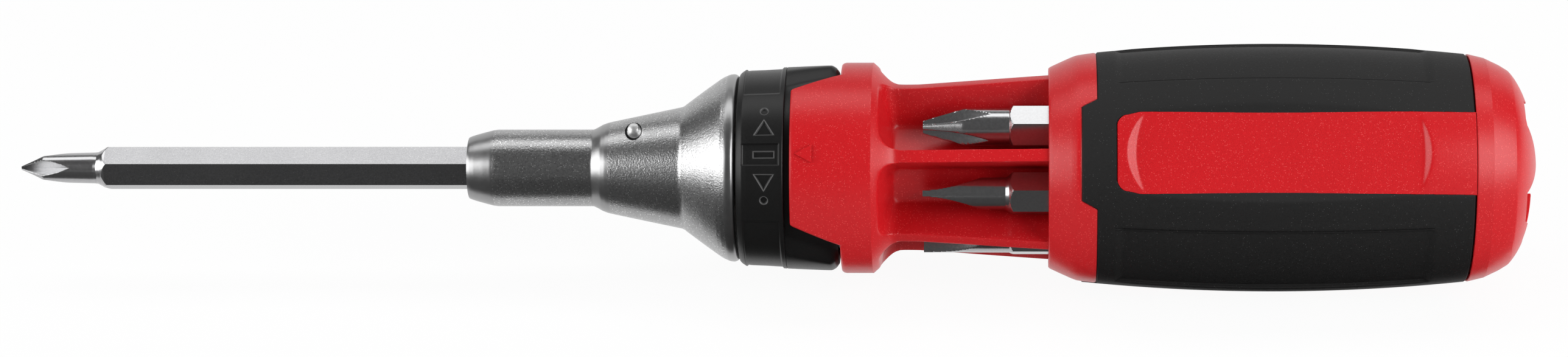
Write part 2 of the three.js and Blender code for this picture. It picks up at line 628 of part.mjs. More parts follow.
function tailClip() {
  const from = TAIL_REAR + 1.25;
  const ring = [...arc(TAIL_RADIUS + 0.9, -150, 150, 18), ...arc(TAIL_RADIUS - 0.6, 150, -150, 18)];
  return piece("spindle_clip", solid(prism(ring, from, from + 0.75)), "spring_steel");
}

function ratchetGear() {
  const pitch = 360 / GEAR_TEETH;
  const outline = repeat(GEAR_TEETH, (i) => i * pitch).flatMap((angle) => [
    ...arc(GEAR_ROOT, angle - 0.347 * pitch, angle - 0.347 * pitch, 1).slice(0, 1),
    ...arc(GEAR_TIP, angle - 0.1 * pitch, angle + 0.1 * pitch, 1),
    ...arc(GEAR_ROOT, angle + 0.347 * pitch, angle + 0.347 * pitch, 1).slice(0, 1),
  ]);
  const body = cut(solid(prism(outline, GEAR_REAR, GEAR_FRONT)),
    prism(hexagon(SEAT_FLATS + 2 * SEAT), GEAR_REAR - 1, GEAR_FRONT + 1));
  return piece("ratchet_gear", body, "tool_steel");
}

// A double-ended rocker pawl: an anchor over the gear with a tooth at each end and a saddle on its back
function pawl(name, angle) {
  const [from, to] = [GEAR_REAR, GEAR_FRONT];
  const reach = 0.9275 * GEAR_TIP;
  const under = 1.123 * GEAR_TIP;
  const arms = prism(sector(under, PAWL_PIVOT + 0.05, PAWL_SPREAD + 7, 14), from, to);
  const saddle = prism(sector(PAWL_PIVOT - 0.5, PAWL_PIVOT + 1.8, 20, 6), from, to);
  const teeth = [-1, 1].map((way) => {
    const tooth = [[-0.75, under + 0.6], [-0.6, under], [-0.15, reach], [0.15, reach], [0.6, under],
      [0.75, under + 0.6]];
    return about(prism(tooth, from, to), way * PAWL_SPREAD);
  });
  const hole = rod(PAWL_PIN + SEAT, from - 1, to + 1, 16).translate(0, 0, PAWL_PIVOT);
  const body = cut(union(arms, saddle, ...teeth), hole);
  return piece(name, solid(about(skin(body), angle)), "tool_steel");
}

function pawlPin(name, angle) {
  const pin = rod(PAWL_PIN, FLOOR_TOP - 2, COVER_FRONT, 16).translate(0, 0, PAWL_PIVOT);
  return piece(name, solid(about(pin, angle)), "tool_steel");
}

function pinHoles(from, to) {
  return [90, -90].map((angle) => {
    const hole = rod(PAWL_PIN + SEAT, from, to, 16).translate(0, 0, PAWL_PIVOT);
    return about(hole, angle);
  });
}

function ratchetHousing() {
  const inner = HOUSING_RADIUS - HOUSING_WALL;
  const bore = TAIL_RADIUS + 1.7;
  const cup = turned([[bore, HOUSING_REAR], [HOUSING_RADIUS, HOUSING_REAR],
    [HOUSING_RADIUS, COVER_REAR - SEAT], [inner, COVER_REAR - SEAT], [inner, FLOOR_TOP], [bore, FLOOR_TOP],
    [bore, HOUSING_REAR]]);
  const keyed = union(cup, ...keys(0, HOUSING_REAR, COLLAR_FRONT - 0.5));
  const windows = [90, -90].map((angle) => {
    const opening = prism(sector(inner - 1, HOUSING_RADIUS + 1, SELECT_STEP + 8, 6),
      PLUNGER_STATION - 2, PLUNGER_STATION + 2);
    return about(opening, angle);
  });
  const body = cut(keyed, ...windows, ...pinHoles(FLOOR_TOP - 2.2, FLOOR_TOP + 1));
  return piece("ratchet_housing", body, "tool_steel");
}

function ratchetCover() {
  const disc = tube(SPINDLE_RADIUS + 1.5, HOUSING_RADIUS - SEAT, COVER_REAR, COVER_FRONT, SEGMENTS);
  return piece("ratchet_cover", cut(solid(disc), ...pinHoles(COVER_REAR - 1, COVER_FRONT + 1)), "tool_steel");
}

// A bush or washer that runs on a shaft, its outside a wall beyond the shaft's radius
function ring(name, shaft, wall, from, to, slot) {
  return piece(name, solid(tube(shaft + FIT, shaft + wall, from, to)), slot);
}

// A V groove that leaves a wing on each side, deepest at the tip
function flute(angle, tip, rear, core, depth) {
  const side = 8;
  const run = tip - rear;
  const bar = new THREE.BoxGeometry(side, 2 * run, side).rotateY(Math.PI / 4);
  bar.translate(0, -run, side / Math.SQRT2).rotateX(Math.atan2(depth - core, run) * -1);
  return about(bar.translate(0, tip, core), angle);
}

function crossTip(body, tip, rear, core, depth, roll) {
  return cut(body, ...repeat(4, (i) => flute(roll + 90 * i, tip + 0.01, rear, core, depth)));
}

// A flat blade ground on both faces to a straight edge
function bladeTip(body, tip, rear, half, depth, roll) {
  return cut(body, ...[0, 180].map((turn) => {
    const grind = slab([[rear, depth], [tip - 1, half], [tip + 1, half], [tip + 1, 9], [rear, 9]], 9);
    return about(grind, roll + turn);
  }));
}

// The interchangeable shaft: a hex bar with a cross tip in front and a flat blade behind
function driverShaft() {
  const point = [[0.355, 0.307], [0.331, 0.275], [0.228, 0.171], [0.142, 0.086], [0.047, 0], [0, 0]];
  const front = turned([[0, SHAFT_HEX_FRONT - 1], [across(0.41), SHAFT_HEX_FRONT - 1],
    [across(0.488), SHAFT_HEX_FRONT], [SHANK_RADIUS + 0.05, SHAFT_HEX_FRONT + 1],
    [SHANK_RADIUS - 0.05, TIP - 0.371 * SHAFT_TIP_LENGTH],
    ...point.map(([radius, back]) => [across(radius), TIP - back * SHAFT_TIP_LENGTH])], 24);
  const rear = rod(SHANK_RADIUS, SHAFT_REAR, SHAFT_HEX_REAR + 1, 24);
  const hex = prism(hexagon(HEX_FLATS), SHAFT_HEX_REAR, SHAFT_HEX_FRONT - 0.3);
  const fluteRear = TIP - 0.57 * SHAFT_TIP_LENGTH;
  const crossed = crossTip(solid(front), TIP, fluteRear, across(0.055), SHANK_RADIUS, DRIVE_ROLL);
  const blank = solid(rear.translate(0, -SHAFT_HEX_REAR, 0).rotateX(Math.PI));
  const bladed = bladeTip(blank, SHAFT_TIP_LENGTH, 0.29 * SHAFT_TIP_LENGTH, across(0.07), SHANK_RADIUS, 0);
  const turnedBack = solid(skin(bladed).rotateX(Math.PI).translate(0, SHAFT_HEX_REAR, 0));
  const body = crossed.add(turnedBack).add(solid(about(hex, HEX_ROLL)));
  return piece("driver_shaft", body, "tool_steel");
}

// Blank of a stored bit on the axis, its rear face at station 0
function bitBlank(neck, tipRows) {
  const hexEnd = along(0.444);
  const corner = across(1 / Math.sqrt(3));
  const hex = solid(prism(hexagon(HEX_FLATS), 0, hexEnd));
  const start = [[0, hexEnd - 0.5], [neck, hexEnd - 0.5], [neck, hexEnd + 0.6]];
  const shank = turned([...start, ...tipRows, [0, BIT_LENGTH]], 20);
  const ends = [[0, -0.1], [across(0.5), -0.1], [corner, 0.5], [corner, hexEnd - 0.5],
    [across(0.47), hexEnd], [0, hexEnd]];
  const round = turned(ends, 24);
  return hex.intersect(solid(round)).add(solid(shank));
}

function largeCrossBit() {
  const neck = across(0.47);
  const blank = bitBlank(neck, [[neck, along(0.74)], [across(0.165), BIT_LENGTH]]);
  return crossTip(blank, BIT_LENGTH, along(0.64), across(0.1), neck, 7.6);
}

function smallCrossBit() {
  const neck = across(0.35);
  const blank = bitBlank(neck, [[neck, along(0.82)], [across(0.095), BIT_LENGTH]]);
  return crossTip(blank, BIT_LENGTH, along(0.72), across(0.055), neck, 0);
}

function narrowBladeBit() {
  const neck = across(0.4);
  return bladeTip(bitBlank(neck, [[neck, BIT_LENGTH]]), BIT_LENGTH, along(0.6), across(0.08), neck, -67.4);
}

function wideBladeBit() {
  const neck = across(0.49);
  return bladeTip(bitBlank(neck, [[neck, BIT_LENGTH]]), BIT_LENGTH, along(0.54), across(0.095), neck, 82.6);
}

function squareBit(side) {
  const neck = across(0.41);
  const round = across(0.27);
  const blank = bitBlank(neck, [[neck, along(0.72)], [round, along(0.8)], [round, along(0.984)],
    [across(0.2), BIT_LENGTH]]);
  const tip = prism(square(side / 2), along(0.78), BIT_LENGTH + 1);
  const rest = prism(square(HEX_FLATS), -1, along(0.792));
  return blank.intersect(union(rest, tip));
}

// A bit in its storage pocket
function storedBit(name, angle, body) {
  const placed = skin(body).translate(0, BIT_REAR, BIT_CIRCLE);
  return piece(name, solid(about(placed, angle)), "tool_steel");
}

const tool = new THREE.Group();
tool.name = "bit_holder_screwdriver";
tool.add(
  handleBody(),
  grip(),
  endCap(),
  selectorRing(),
  plunger("plunger_upper", 90),
  plunger("plunger_lower", -90),
  plungerSpring("plunger_spring_upper", 90),
  plungerSpring("plunger_spring_lower", -90),
  ratchetHousing(),
  ratchetCover(),
  pawl("rocker_pawl_upper", 90),
  pawl("rocker_pawl_lower", -90),
  pawlPin("pawl_pin_upper", 90),
  pawlPin("pawl_pin_lower", -90),
  ratchetGear(),
  spindle(),
  spindlePin(),
  tailClip(),
  ring("tail_washer", TAIL_RADIUS, 1.6, HOUSING_REAR - 0.75, HOUSING_REAR - 2 * SEAT, "tool_steel"),
  ring("rear_bush", TAIL_RADIUS, 1.6, HOUSING_REAR, FLOOR_TOP, "bronze"),
  ring("front_bush", SPINDLE_RADIUS, 1.4, COVER_REAR, COVER_FRONT, "bronze"),
  ring("thrust_washer", SPINDLE_RADIUS, 3, WASHER_REAR, WASHER_FRONT, "bronze"),
  nose(),
  bitClip(),
  socketMagnet(),
  driverShaft(),
  storedBit("bit_cross_large", pocketAngles[0], largeCrossBit()),
  storedBit("bit_square_small", pocketAngles[1], squareBit(SQUARE_SMALL)),
  storedBit("bit_cross_small", pocketAngles[2], smallCrossBit()),
  storedBit("bit_square_large", pocketAngles[3], squareBit(SQUARE_LARGE)),
  storedBit("bit_blade_wide", pocketAngles[4], wideBladeBit()),
  storedBit("bit_blade_narrow", pocketAngles[5], narrowBladeBit()),
);
tool.rotation.y = radians(REST_ROLL);

const scene = new THREE.Group();
scene.add(tool);
scene.position.set(BUTT_FLOOR, 0, 0);
scene.rotation.z = Math.PI / 2;

export default scene;
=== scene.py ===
"""Ratcheting bit holder screwdriver: smooth moulded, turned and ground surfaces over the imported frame."""
import json

import bmesh
import bpy
import numpy as np
from bpy.props import FloatProperty, FloatVectorProperty, PointerProperty
from mathutils import Matrix, Vector


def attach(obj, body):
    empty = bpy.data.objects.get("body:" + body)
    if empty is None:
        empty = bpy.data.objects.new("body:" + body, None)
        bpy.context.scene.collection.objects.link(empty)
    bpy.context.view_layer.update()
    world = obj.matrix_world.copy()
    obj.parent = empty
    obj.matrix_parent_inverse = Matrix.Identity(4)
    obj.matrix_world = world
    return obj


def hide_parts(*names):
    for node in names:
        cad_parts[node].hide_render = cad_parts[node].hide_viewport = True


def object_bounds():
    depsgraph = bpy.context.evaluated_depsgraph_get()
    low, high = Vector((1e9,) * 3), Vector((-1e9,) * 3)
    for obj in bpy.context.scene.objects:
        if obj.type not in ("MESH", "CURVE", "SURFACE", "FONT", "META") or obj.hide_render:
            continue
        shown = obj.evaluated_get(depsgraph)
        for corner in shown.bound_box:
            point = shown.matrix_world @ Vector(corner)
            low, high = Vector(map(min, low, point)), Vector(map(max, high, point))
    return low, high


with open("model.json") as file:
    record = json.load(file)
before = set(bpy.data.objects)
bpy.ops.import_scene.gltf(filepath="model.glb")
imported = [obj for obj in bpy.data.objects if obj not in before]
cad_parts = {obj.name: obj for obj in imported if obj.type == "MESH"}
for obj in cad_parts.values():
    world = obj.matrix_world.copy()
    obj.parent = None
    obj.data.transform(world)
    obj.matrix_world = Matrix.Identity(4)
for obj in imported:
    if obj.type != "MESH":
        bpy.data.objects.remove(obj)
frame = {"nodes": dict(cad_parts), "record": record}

bl_info = {
    "name": "Ratcheting bit holder screwdriver",
    "version": (1, 0, 0),
    "blender": (4, 5, 0),
    "location": "View3D > Sidebar > Screwdriver",
    "description": "Builds the handle, selector, nose, shaft and stored bits of a ratcheting screwdriver",
    "category": "Object",
}

CAD_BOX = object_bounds()

# A station is a distance in millimetres along the axis from the butt to the tip.
# An angle is in degrees about the axis, from the middle of the panel that faces the camera.
BUTT_FLOOR = 2.0
REST_ROLL = -60.0
CAP_SEAM = 11.0
GRIP_FRONT = 70.45
TAB_FRONT = 72.9
FLANGE_FACE = 78.1
COLLAR_REAR = 106.4
COLLAR_FRONT = 111.4
TONGUE_FRONT = 119.3
RING_REAR = 120.3
RING_FRONT = 127.95
NOSE_REAR = 128.25
NOSE_FRONT = 172.35
SHAFT_REAR = 149.55
BAR_REAR = 164.0
BAR_FRONT = 232.2
TIP = 246.45

# Grip and panels
BARREL_CENTRE = 42.55
BARREL_ARC = 300.0
EDGE_ROUND = 0.22
PANEL_ANGLES = (0.0, 120.0, -120.0)
PANEL_HALF = 6.6
PANEL_SINK = 1.85
PANEL_SHOULDER = 63.7
PANEL_FRONT = 67.45
PANEL_CORNER = 1.8

# Waist, collar and tongues
RIB_HALF = 1.02
POCKET_FLOOR = 7.0
POCKET_FRONT = 103.45
POCKET_CORNER = 2.5
TONGUE_INSIDE = 15.35

# Selector ring
WING_REAR = 111.9
SIGN_STATION = 123.4
ARROW_ANGLE = 16.0
DOT_ANGLE = 26.3
SIGNS_END = 40.0

# Nose, shaft and stored bits
DRIVE_ROLL = -7.4
HEX_ROLL = -27.5
PIN_STATION = 145.05
PIN_OFFSET = 5.9
PIN_HOLE = 1.42
SHANK = 2.5
BIT_REAR = 73.2
BIT_LENGTH = 25.0

# Depth of the moulded and ground grain, in metres
GRAIN_DEPTH = 0.00008

# Stage, in metres and degrees, with the lens in millimetres
VIEW_YAW = 3.2
VIEW_MIDDLE = -0.119
VIEW_DROP = 0.00173
CAMERA_DISTANCE = 0.681
SENSOR_WIDTH = 36.0
FOCAL_LENGTH = 96.12
LAMP_MIDDLE = -0.11
LAMP_DISTANCE = 0.8
FLOOR_GAP = 0.0004


def length_setting(name, description, default):
    """A setting for a length in metres."""
    return FloatProperty(name=name, description=description, default=default, unit="LENGTH")


def colour_setting(name, description, default):
    """A setting for a colour."""
    return FloatVectorProperty(name=name, description=description, default=default, subtype="COLOR",
                               min=0, max=1)


class ScrewdriverSizes(bpy.types.PropertyGroup):
    """Radii and flats that set the outside of the tool"""

    crown: length_setting("Grip crown", "Radius of the grip at its widest", 0.020)
    collar: length_setting("Collar", "Radius of the collar and tongues", 0.0171)
    band: length_setting("Selector band", "Radius of the selector ring", 0.0162)
    rim: length_setting("Nose rim", "Largest radius of the nose", 0.01526)
    barrel: length_setting("Nose barrel", "Radius of the nose's straight front", 0.00626)
    flats: length_setting("Hex flats", "Width across the flats of the shaft and bits", 0.00635)
    circle: length_setting("Bit circle", "Radius on which the stored bits stand", 0.0107)


class ScrewdriverColours(bpy.types.PropertyGroup):
    """Colours of the finishes"""

    red: colour_setting("Red plastic", "Moulded body, panels and cap", (0.53, 0.007, 0.011))
    rubber: colour_setting("Rubber", "Overmoulded grip", (0.0088, 0.0086, 0.0086))
    ring: colour_setting("Selector plastic", "Selector ring", (0.006, 0.006, 0.006))
    chrome: colour_setting("Blasted plating", "Nose", (0.31, 0.31, 0.312))
    steel: colour_setting("Bright steel", "Ground tips and stored bits", (0.4, 0.4, 0.405))
    bar: colour_setting("Dark steel", "Hex bar of the shaft", (0.27, 0.27, 0.275))
    bronze: colour_setting("Bronze", "Bushes and thrust washer", (0.45, 0.28, 0.11))


def sizes():
    """The sizes set in the panel."""
    return bpy.context.scene.screwdriver_sizes


def colours():
    """The colours set in the panel."""
    return bpy.context.scene.screwdriver_colours


def mm(length):
    """A property's length in millimetres."""
    return 1000.0 * length


def around(station, radius, angle):
    """Points in metres from stations, radii and angles: X runs back along the axis, Y and Z are the sine and
    cosine of the angle after the roll that lays the tool on a panel."""
    turn = np.radians(angle + REST_ROLL)
    parts = np.broadcast_arrays(BUTT_FLOOR - station, radius * np.sin(turn), radius * np.cos(turn))
    return np.stack(parts, axis=-1) / 1000.0


def beside(station, across, height, angle):
    """Points in metres from stations and from sideways and outward distances in a frame turned by an
    angle."""
    return around(station, np.hypot(across, height), np.degrees(np.arctan2(across, height)) + angle)


def curve(at, knots):
    """A smooth line through knots of (place, value): a cubic between neighbours whose slopes are the limited
    means of the chords, so that it never overshoots a knot."""
    x, y = np.asarray(knots, float).T
    chord = np.diff(y) / np.diff(x)
    inner = np.where(chord[:-1] * chord[1:] > 0,
                     2 * chord[:-1] * chord[1:] / (chord[:-1] + chord[1:] + 1e-12), 0.0)
    slope = np.concatenate([[chord[0]], inner, [chord[-1]]])
    at = np.clip(at, x[0], x[-1])
    k = np.clip(np.searchsorted(x, at) - 1, 0, len(x) - 2)
    width = x[k + 1] - x[k]
    t = (at - x[k]) / width
    return (y[k] * (1 + 2 * t) * (1 - t) ** 2 + y[k + 1] * t * t * (3 - 2 * t)
            + width * t * (1 - t) * (slope[k] * (1 - t) - slope[k + 1] * t))


def step(value, low, high):
    """0 below low, 1 above high and a smooth S between."""
    t = np.clip((value - low) / (high - low), 0.0, 1.0)
    return t * t * (3 - 2 * t)


def window(value, rise, fall):
    """1 between a rise and a fall, each given by its two ends, and 0 outside them."""
    return step(value, *rise) * (1 - step(value, *fall))


def polyline(at, knots):
    """A line of straight runs through knots of (place, value)."""
    x, y = np.array(knots).T
    return np.interp(at, x, y)


def lower_of(a, b, blend):
    """The smaller of two fields, with their crossing rounded over about the blend length."""
    return 0.5 * (a + b - np.sqrt((a - b) ** 2 + blend ** 2))


def upper_of(a, b, blend):
    """The larger of two fields, with their crossing rounded over about the blend length."""
    return 0.5 * (a + b + np.sqrt((a - b) ** 2 + blend ** 2))


def folded(angle, period):
    """An angle measured from the nearest multiple of a period."""
    return (angle + period / 2) % period - period / 2


def spread(*runs):
    """Places along a line from runs of (start, end, count), joined and sorted."""
    return np.unique(np.concatenate([np.linspace(a, b, n) for a, b, n in runs]).round(6))


def repeated(sector, count):
    """Angles of one sector, from its start to its end, repeated around the whole turn."""
    return np.unique(np.concatenate([sector[:-1] + k * 360.0 / count for k in range(count)]).round(6))


def quads(rows, columns, wrapped):
    """Corner numbers of the faces of a grid, with its last column joined to its first where it is wrapped."""
    i, j = np.meshgrid(np.arange(rows - 1), np.arange(columns if wrapped else columns - 1), indexing="ij")
    k = (j + 1) % columns
    return np.stack([i * columns + j, i * columns + k, (i + 1) * columns + k, (i + 1) * columns + j],
                    axis=-1).reshape(-1, 4)


def surface(name, points, wrapped, finish, body, nodes=(), sharp=28.0, values=None):
    """A mesh over a grid of points, with faces turned away from the axis, doubles merged and creases kept."""
    rows, columns = points.shape[:2]
    flat = points.reshape(-1, 3)
    faces = quads(rows, columns, wrapped)
    hub = np.array([flat[:, 0].mean(), 0.0, 0.0])
    a, b, c, d = (flat[faces[:, n]] - hub for n in range(4))
    swell = np.einsum("ij,ij->", a, np.cross(b, c)) + np.einsum("ij,ij->", a, np.cross(c, d))
    faces = faces if swell > 0 else faces[:, ::-1]
    mesh = bpy.data.meshes.new(name)
    mesh.from_pydata(flat, [], faces)
    # Values, where given, go into a point attribute; the selector's signs' edges use it for a painted
    # highlight.
    if values is not None:
        edge_highlight = mesh.attributes.new("edge_highlight", "FLOAT", "POINT")
        edge_highlight.data.foreach_set("value", np.ascontiguousarray(values.reshape(-1), np.float32))
    tidy = bmesh.new()
    tidy.from_mesh(mesh)
    bmesh.ops.remove_doubles(tidy, verts=tidy.verts, dist=1e-7)
    bmesh.ops.dissolve_degenerate(tidy, edges=tidy.edges, dist=1e-8)
    tidy.to_mesh(mesh)
    tidy.free()
    mesh.shade_smooth()
    mesh.set_sharp_from_angle(angle=np.radians(sharp))
    mesh.materials.append(finish)
    piece = bpy.data.objects.new(name, mesh)
    bpy.context.scene.collection.objects.link(piece)
    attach(piece, body)
    if nodes:
        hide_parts(*nodes)
    return piece


def second_finish(piece, finish, chosen):
    """Gives a second finish to the faces whose station a test chooses."""
    piece.data.materials.append(finish)
    middle = np.empty(3 * len(piece.data.polygons))
    piece.data.polygons.foreach_get("center", middle)
    station = BUTT_FLOOR - 1000.0 * middle.reshape(-1, 3)[:, 0]
    piece.data.polygons.foreach_set("material_index", chosen(station).astype(np.int32))


def socket(group, name, way, kind, default=None):
    """Adds a socket to a node group."""
    made = group.interface.new_socket(name=name, in_out=way, socket_type=kind)
    if default is not None:
        made.default_value = default


def set_inputs(node, values):
    """Sets inputs of a node by their names."""
    for name, value in values.items():
        node.inputs[name].default_value = value


def link(tree, *pairs):
    """Links pairs of sockets, each an output and an input."""
    for source, target in pairs:
        tree.links.new(source, target)


def grain_group():
    """Moulded grain: two sizes of noise mixed, put out as a colour between two given ones and as a height."""
    group = bpy.data.node_groups.new("Moulded grain", "ShaderNodeTree")
    socket(group, "Scale", "INPUT", "NodeSocketFloat", 2500.0)
    socket(group, "Dark", "INPUT", "NodeSocketColor", (0.4, 0.4, 0.4, 1))
    socket(group, "Light", "INPUT", "NodeSocketColor", (0.6, 0.6, 0.6, 1))
    socket(group, "Colour", "OUTPUT", "NodeSocketColor")
    socket(group, "Height", "OUTPUT", "NodeSocketFloat")
    nodes = group.nodes
    given, out = nodes.new("NodeGroupInput"), nodes.new("NodeGroupOutput")
    place = nodes.new("ShaderNodeTexCoord")
    fine, broad = nodes.new("ShaderNodeTexNoise"), nodes.new("ShaderNodeTexNoise")
    fine.inputs["Detail"].default_value = 3.0
    broad.inputs["Scale"].default_value = 90.0
    both, tint = nodes.new("ShaderNodeMath"), nodes.new("ShaderNodeMix")
    both.operation = "MULTIPLY_ADD"
    both.inputs[1].default_value = 0.3
    tint.data_type = "RGBA"
    link(group, (place.outputs["Object"], fine.inputs["Vector"]),
         (place.outputs["Object"], broad.inputs["Vector"]), (given.outputs["Scale"], fine.inputs["Scale"]),
         (broad.outputs["Fac"], both.inputs[0]), (fine.outputs["Fac"], both.inputs[2]),
         (both.outputs[0], tint.inputs["Factor"]),
         (given.outputs["Dark"], tint.inputs["A"]), (given.outputs["Light"], tint.inputs["B"]),
         (tint.outputs["Result"], out.inputs["Colour"]), (fine.outputs["Fac"], out.inputs["Height"]))
    return group


def speckle_and_glint_group():
    """Fine bright points: in cells whose random value is under a share, all that is near the cell's point."""
    group = bpy.data.node_groups.new("Fine speckle and glints", "ShaderNodeTree")
    socket(group, "Scale", "INPUT", "NodeSocketFloat", 1500.0)
    socket(group, "Share", "INPUT", "NodeSocketFloat", 0.1)
    socket(group, "Size", "INPUT", "NodeSocketFloat", 0.35)
    socket(group, "Mask", "OUTPUT", "NodeSocketFloat")
    nodes = group.nodes
    given, out = nodes.new("NodeGroupInput"), nodes.new("NodeGroupOutput")
    place, cells = nodes.new("ShaderNodeTexCoord"), nodes.new("ShaderNodeTexVoronoi")
    chosen, near = nodes.new("ShaderNodeMath"), nodes.new("ShaderNodeMath")
    both = nodes.new("ShaderNodeMath")
    split = nodes.new("ShaderNodeSeparateColor")
    chosen.operation = near.operation = "LESS_THAN"
    both.operation = "MULTIPLY"
    link(group, (place.outputs["Object"], cells.inputs["Vector"]),
         (given.outputs["Scale"], cells.inputs["Scale"]),
         (cells.outputs["Color"], split.inputs["Color"]), (split.outputs["Red"], chosen.inputs[0]),
         (given.outputs["Share"], chosen.inputs[1]), (cells.outputs["Distance"], near.inputs[0]),
         (given.outputs["Size"], near.inputs[1]), (chosen.outputs[0], both.inputs[0]),
         (near.outputs[0], both.inputs[1]), (both.outputs[0], out.inputs["Mask"]))
    return group


def group_named(name, maker):
    """A node group by its name, made where there is none yet."""
    return bpy.data.node_groups.get(name) or maker()


def shade(colour, share):
    """A colour made lighter or darker, with its alpha."""
    return tuple(min(1.0, share * c) for c in colour) + (1.0,)


def new_finish(name):
    """A new material with its node tree and its shader."""
    finish = bpy.data.materials.new(name)
    finish.use_nodes = True
    tree = finish.node_tree
    return finish, tree, tree.nodes["Principled BSDF"]


def add_grain(tree, shader, colour, scale, contrast, bump):
    """Grain in the colour and, through a bump, in the surface of a material."""
    grain = tree.nodes.new("ShaderNodeGroup")
    grain.node_tree = group_named("Moulded grain", grain_group)
    set_inputs(grain, {"Scale": scale, "Dark": shade(colour, 1 - contrast),
                       "Light": shade(colour, 1 + contrast)})
    relief = tree.nodes.new("ShaderNodeBump")
    set_inputs(relief, {"Strength": bump, "Distance": GRAIN_DEPTH})
    link(tree, (grain.outputs["Colour"], shader.inputs["Base Color"]),
         (grain.outputs["Height"], relief.inputs["Height"]),
         (relief.outputs["Normal"], shader.inputs["Normal"]))
    return grain


def tint_by(tree, shader, mask, base, tint):
    """Mixes a tint into a base colour by a mask."""
    mix = tree.nodes.new("ShaderNodeMix")
    mix.data_type = "RGBA"
    mix.inputs["B"].default_value = tint
    link(tree, (mask, mix.inputs["Factor"]), (base, mix.inputs["A"]),
         (mix.outputs["Result"], shader.inputs["Base Color"]))


def add_speckle_and_glints(tree, shader, base, tint, scale, share, size):
    """Bright points over a base colour: real speckle on the plastics and painted glints on the metals."""
    dots = tree.nodes.new("ShaderNodeGroup")
    dots.node_tree = group_named("Fine speckle and glints", speckle_and_glint_group)
    set_inputs(dots, {"Scale": scale, "Share": share, "Size": size})
    tint_by(tree, shader, dots.outputs["Mask"], base, tint)


def varied_roughness(tree, shader, grain, low, high):
    """Roughness that follows the grain between two values."""
    reach = tree.nodes.new("ShaderNodeMapRange")
    set_inputs(reach, {"To Min": low, "To Max": high})
    link(tree, (grain.outputs["Height"], reach.inputs["Value"]),
         (reach.outputs["Result"], shader.inputs["Roughness"]))


def red_plastic():
    """Red moulded plastic with a fine grain and lighter points."""
    finish, tree, shader = new_finish("Red moulded plastic")
    grain = add_grain(tree, shader, colours().red, scale=4200.0, contrast=0.12, bump=0.2)
    varied_roughness(tree, shader, grain, low=0.27, high=0.4)
    add_speckle_and_glints(tree, shader, grain.outputs["Colour"], tint=(0.72, 0.06, 0.06, 1), scale=5200.0, share=0.16,
                size=0.36)
    set_inputs(shader, {"Specular IOR Level": 0.4})
    return finish


def black_rubber():
    """Dull black rubber with a grain and a few grey points."""
    finish, tree, shader = new_finish("Overmoulded rubber")
    grain = add_grain(tree, shader, colours().rubber, scale=3200.0, contrast=0.35, bump=0.3)
    varied_roughness(tree, shader, grain, low=0.56, high=0.76)
    add_speckle_and_glints(tree, shader, grain.outputs["Colour"], tint=(0.1, 0.1, 0.1, 1), scale=6000.0, share=0.05,
                size=0.24)
    set_inputs(shader, {"Specular IOR Level": 0.3})
    return finish


def selector_plastic():
    """Black plastic with a painted highlight: greyer where a point attribute of the mesh says that a sign's
    edge is.
    """
    finish, tree, shader = new_finish("Selector plastic")
    grain = add_grain(tree, shader, colours().ring, scale=3600.0, contrast=0.35, bump=0.12)
    varied_roughness(tree, shader, grain, low=0.32, high=0.46)
    set_inputs(shader, {"Specular IOR Level": 0.32})
    # Painted highlight on the signs' edges: a lighter grey mixed in by the attribute.
    edge_highlight = tree.nodes.new("ShaderNodeAttribute")
    edge_highlight.attribute_name = "edge_highlight"
    tint_by(tree, shader, edge_highlight.outputs["Fac"], grain.outputs["Colour"], (0.12, 0.12, 0.12, 1))
    return finish


def metal(name, colour, scale, contrast, bump, rough):
    """A metal with a grain; rough gives the ends of its roughness."""
    finish, tree, shader = new_finish(name)
    set_inputs(shader, {"Metallic": 1.0})
    grain = add_grain(tree, shader, colour, scale, contrast, bump)
    varied_roughness(tree, shader, grain, *rough)
    return finish, tree, shader, grain


def plain_metal(name, colour, **grain):
    """A metal that needs nothing but its grain."""
    return metal(name, colour, **grain)[0]


def blasted_plating():
    """Matt plating of the nose, with bright points painted in as glints."""
    finish, tree, shader, grain = metal("Blasted plating", colours().chrome, scale=3800.0, contrast=0.5,
                                        bump=0.5, rough=(0.23, 0.35))
    # Painted glints: bright points mixed into the plating's colour.
    add_speckle_and_glints(tree, shader, grain.outputs["Colour"], tint=(0.9, 0.9, 0.9, 1), scale=4800.0, share=0.16,
                size=0.34)
    return finish


def polished_plating():
    """Smoother plating of the nose's rim, step and front chamfer."""
    return plain_metal("Polished plating", colours().chrome, scale=900.0, contrast=0.1, bump=0.05,
                       rough=(0.26, 0.36))


def bright_steel():
    """Ground steel of the tips, the stored bits and most inner pieces."""
    return plain_metal("Ground steel", colours().steel, scale=2600.0, contrast=0.16, bump=0.05,
                       rough=(0.17, 0.28))


def dark_steel():
    """Dark steel of the hex bar, with a few lighter points painted in as glints."""
    finish, tree, shader, grain = metal("Dark hex steel", colours().bar, scale=4200.0, contrast=0.35,
                                        bump=0.12, rough=(0.2, 0.3))
    # Painted glints: lighter points mixed into the steel's colour.
    add_speckle_and_glints(tree, shader, grain.outputs["Colour"], tint=(0.42, 0.42, 0.42, 1), scale=5200.0, share=0.08,
                size=0.3)
    return finish


FINISHES = {}


def shared(maker):
    """The finish that a function makes, made once for all the pieces that ask for it."""
    if maker not in FINISHES:
        FINISHES[maker] = maker()
    return FINISHES[maker]


def red_piece(name, points, sharp, nodes=(), wrapped=True):
    """A piece of the red handle."""
    return surface(name, points, wrapped, shared(red_plastic), "handle", nodes, sharp)


def barrel_radius(station):
    """Grip radius: a wide circle arc whose crown is at the middle of the grip."""
    crown = mm(sizes().crown)
    return crown - BARREL_ARC + np.sqrt(BARREL_ARC ** 2 - (station - BARREL_CENTRE) ** 2)


def tab_edge(angle):
    """Station of the grip's front edge: a tab ahead of each panel with slanted sides."""
    foot, slant = 28.3, 4.0
    share = np.clip((foot - np.abs(folded(angle, 120.0))) / slant, 0, 1)
    return GRIP_FRONT + (TAB_FRONT - GRIP_FRONT) * share


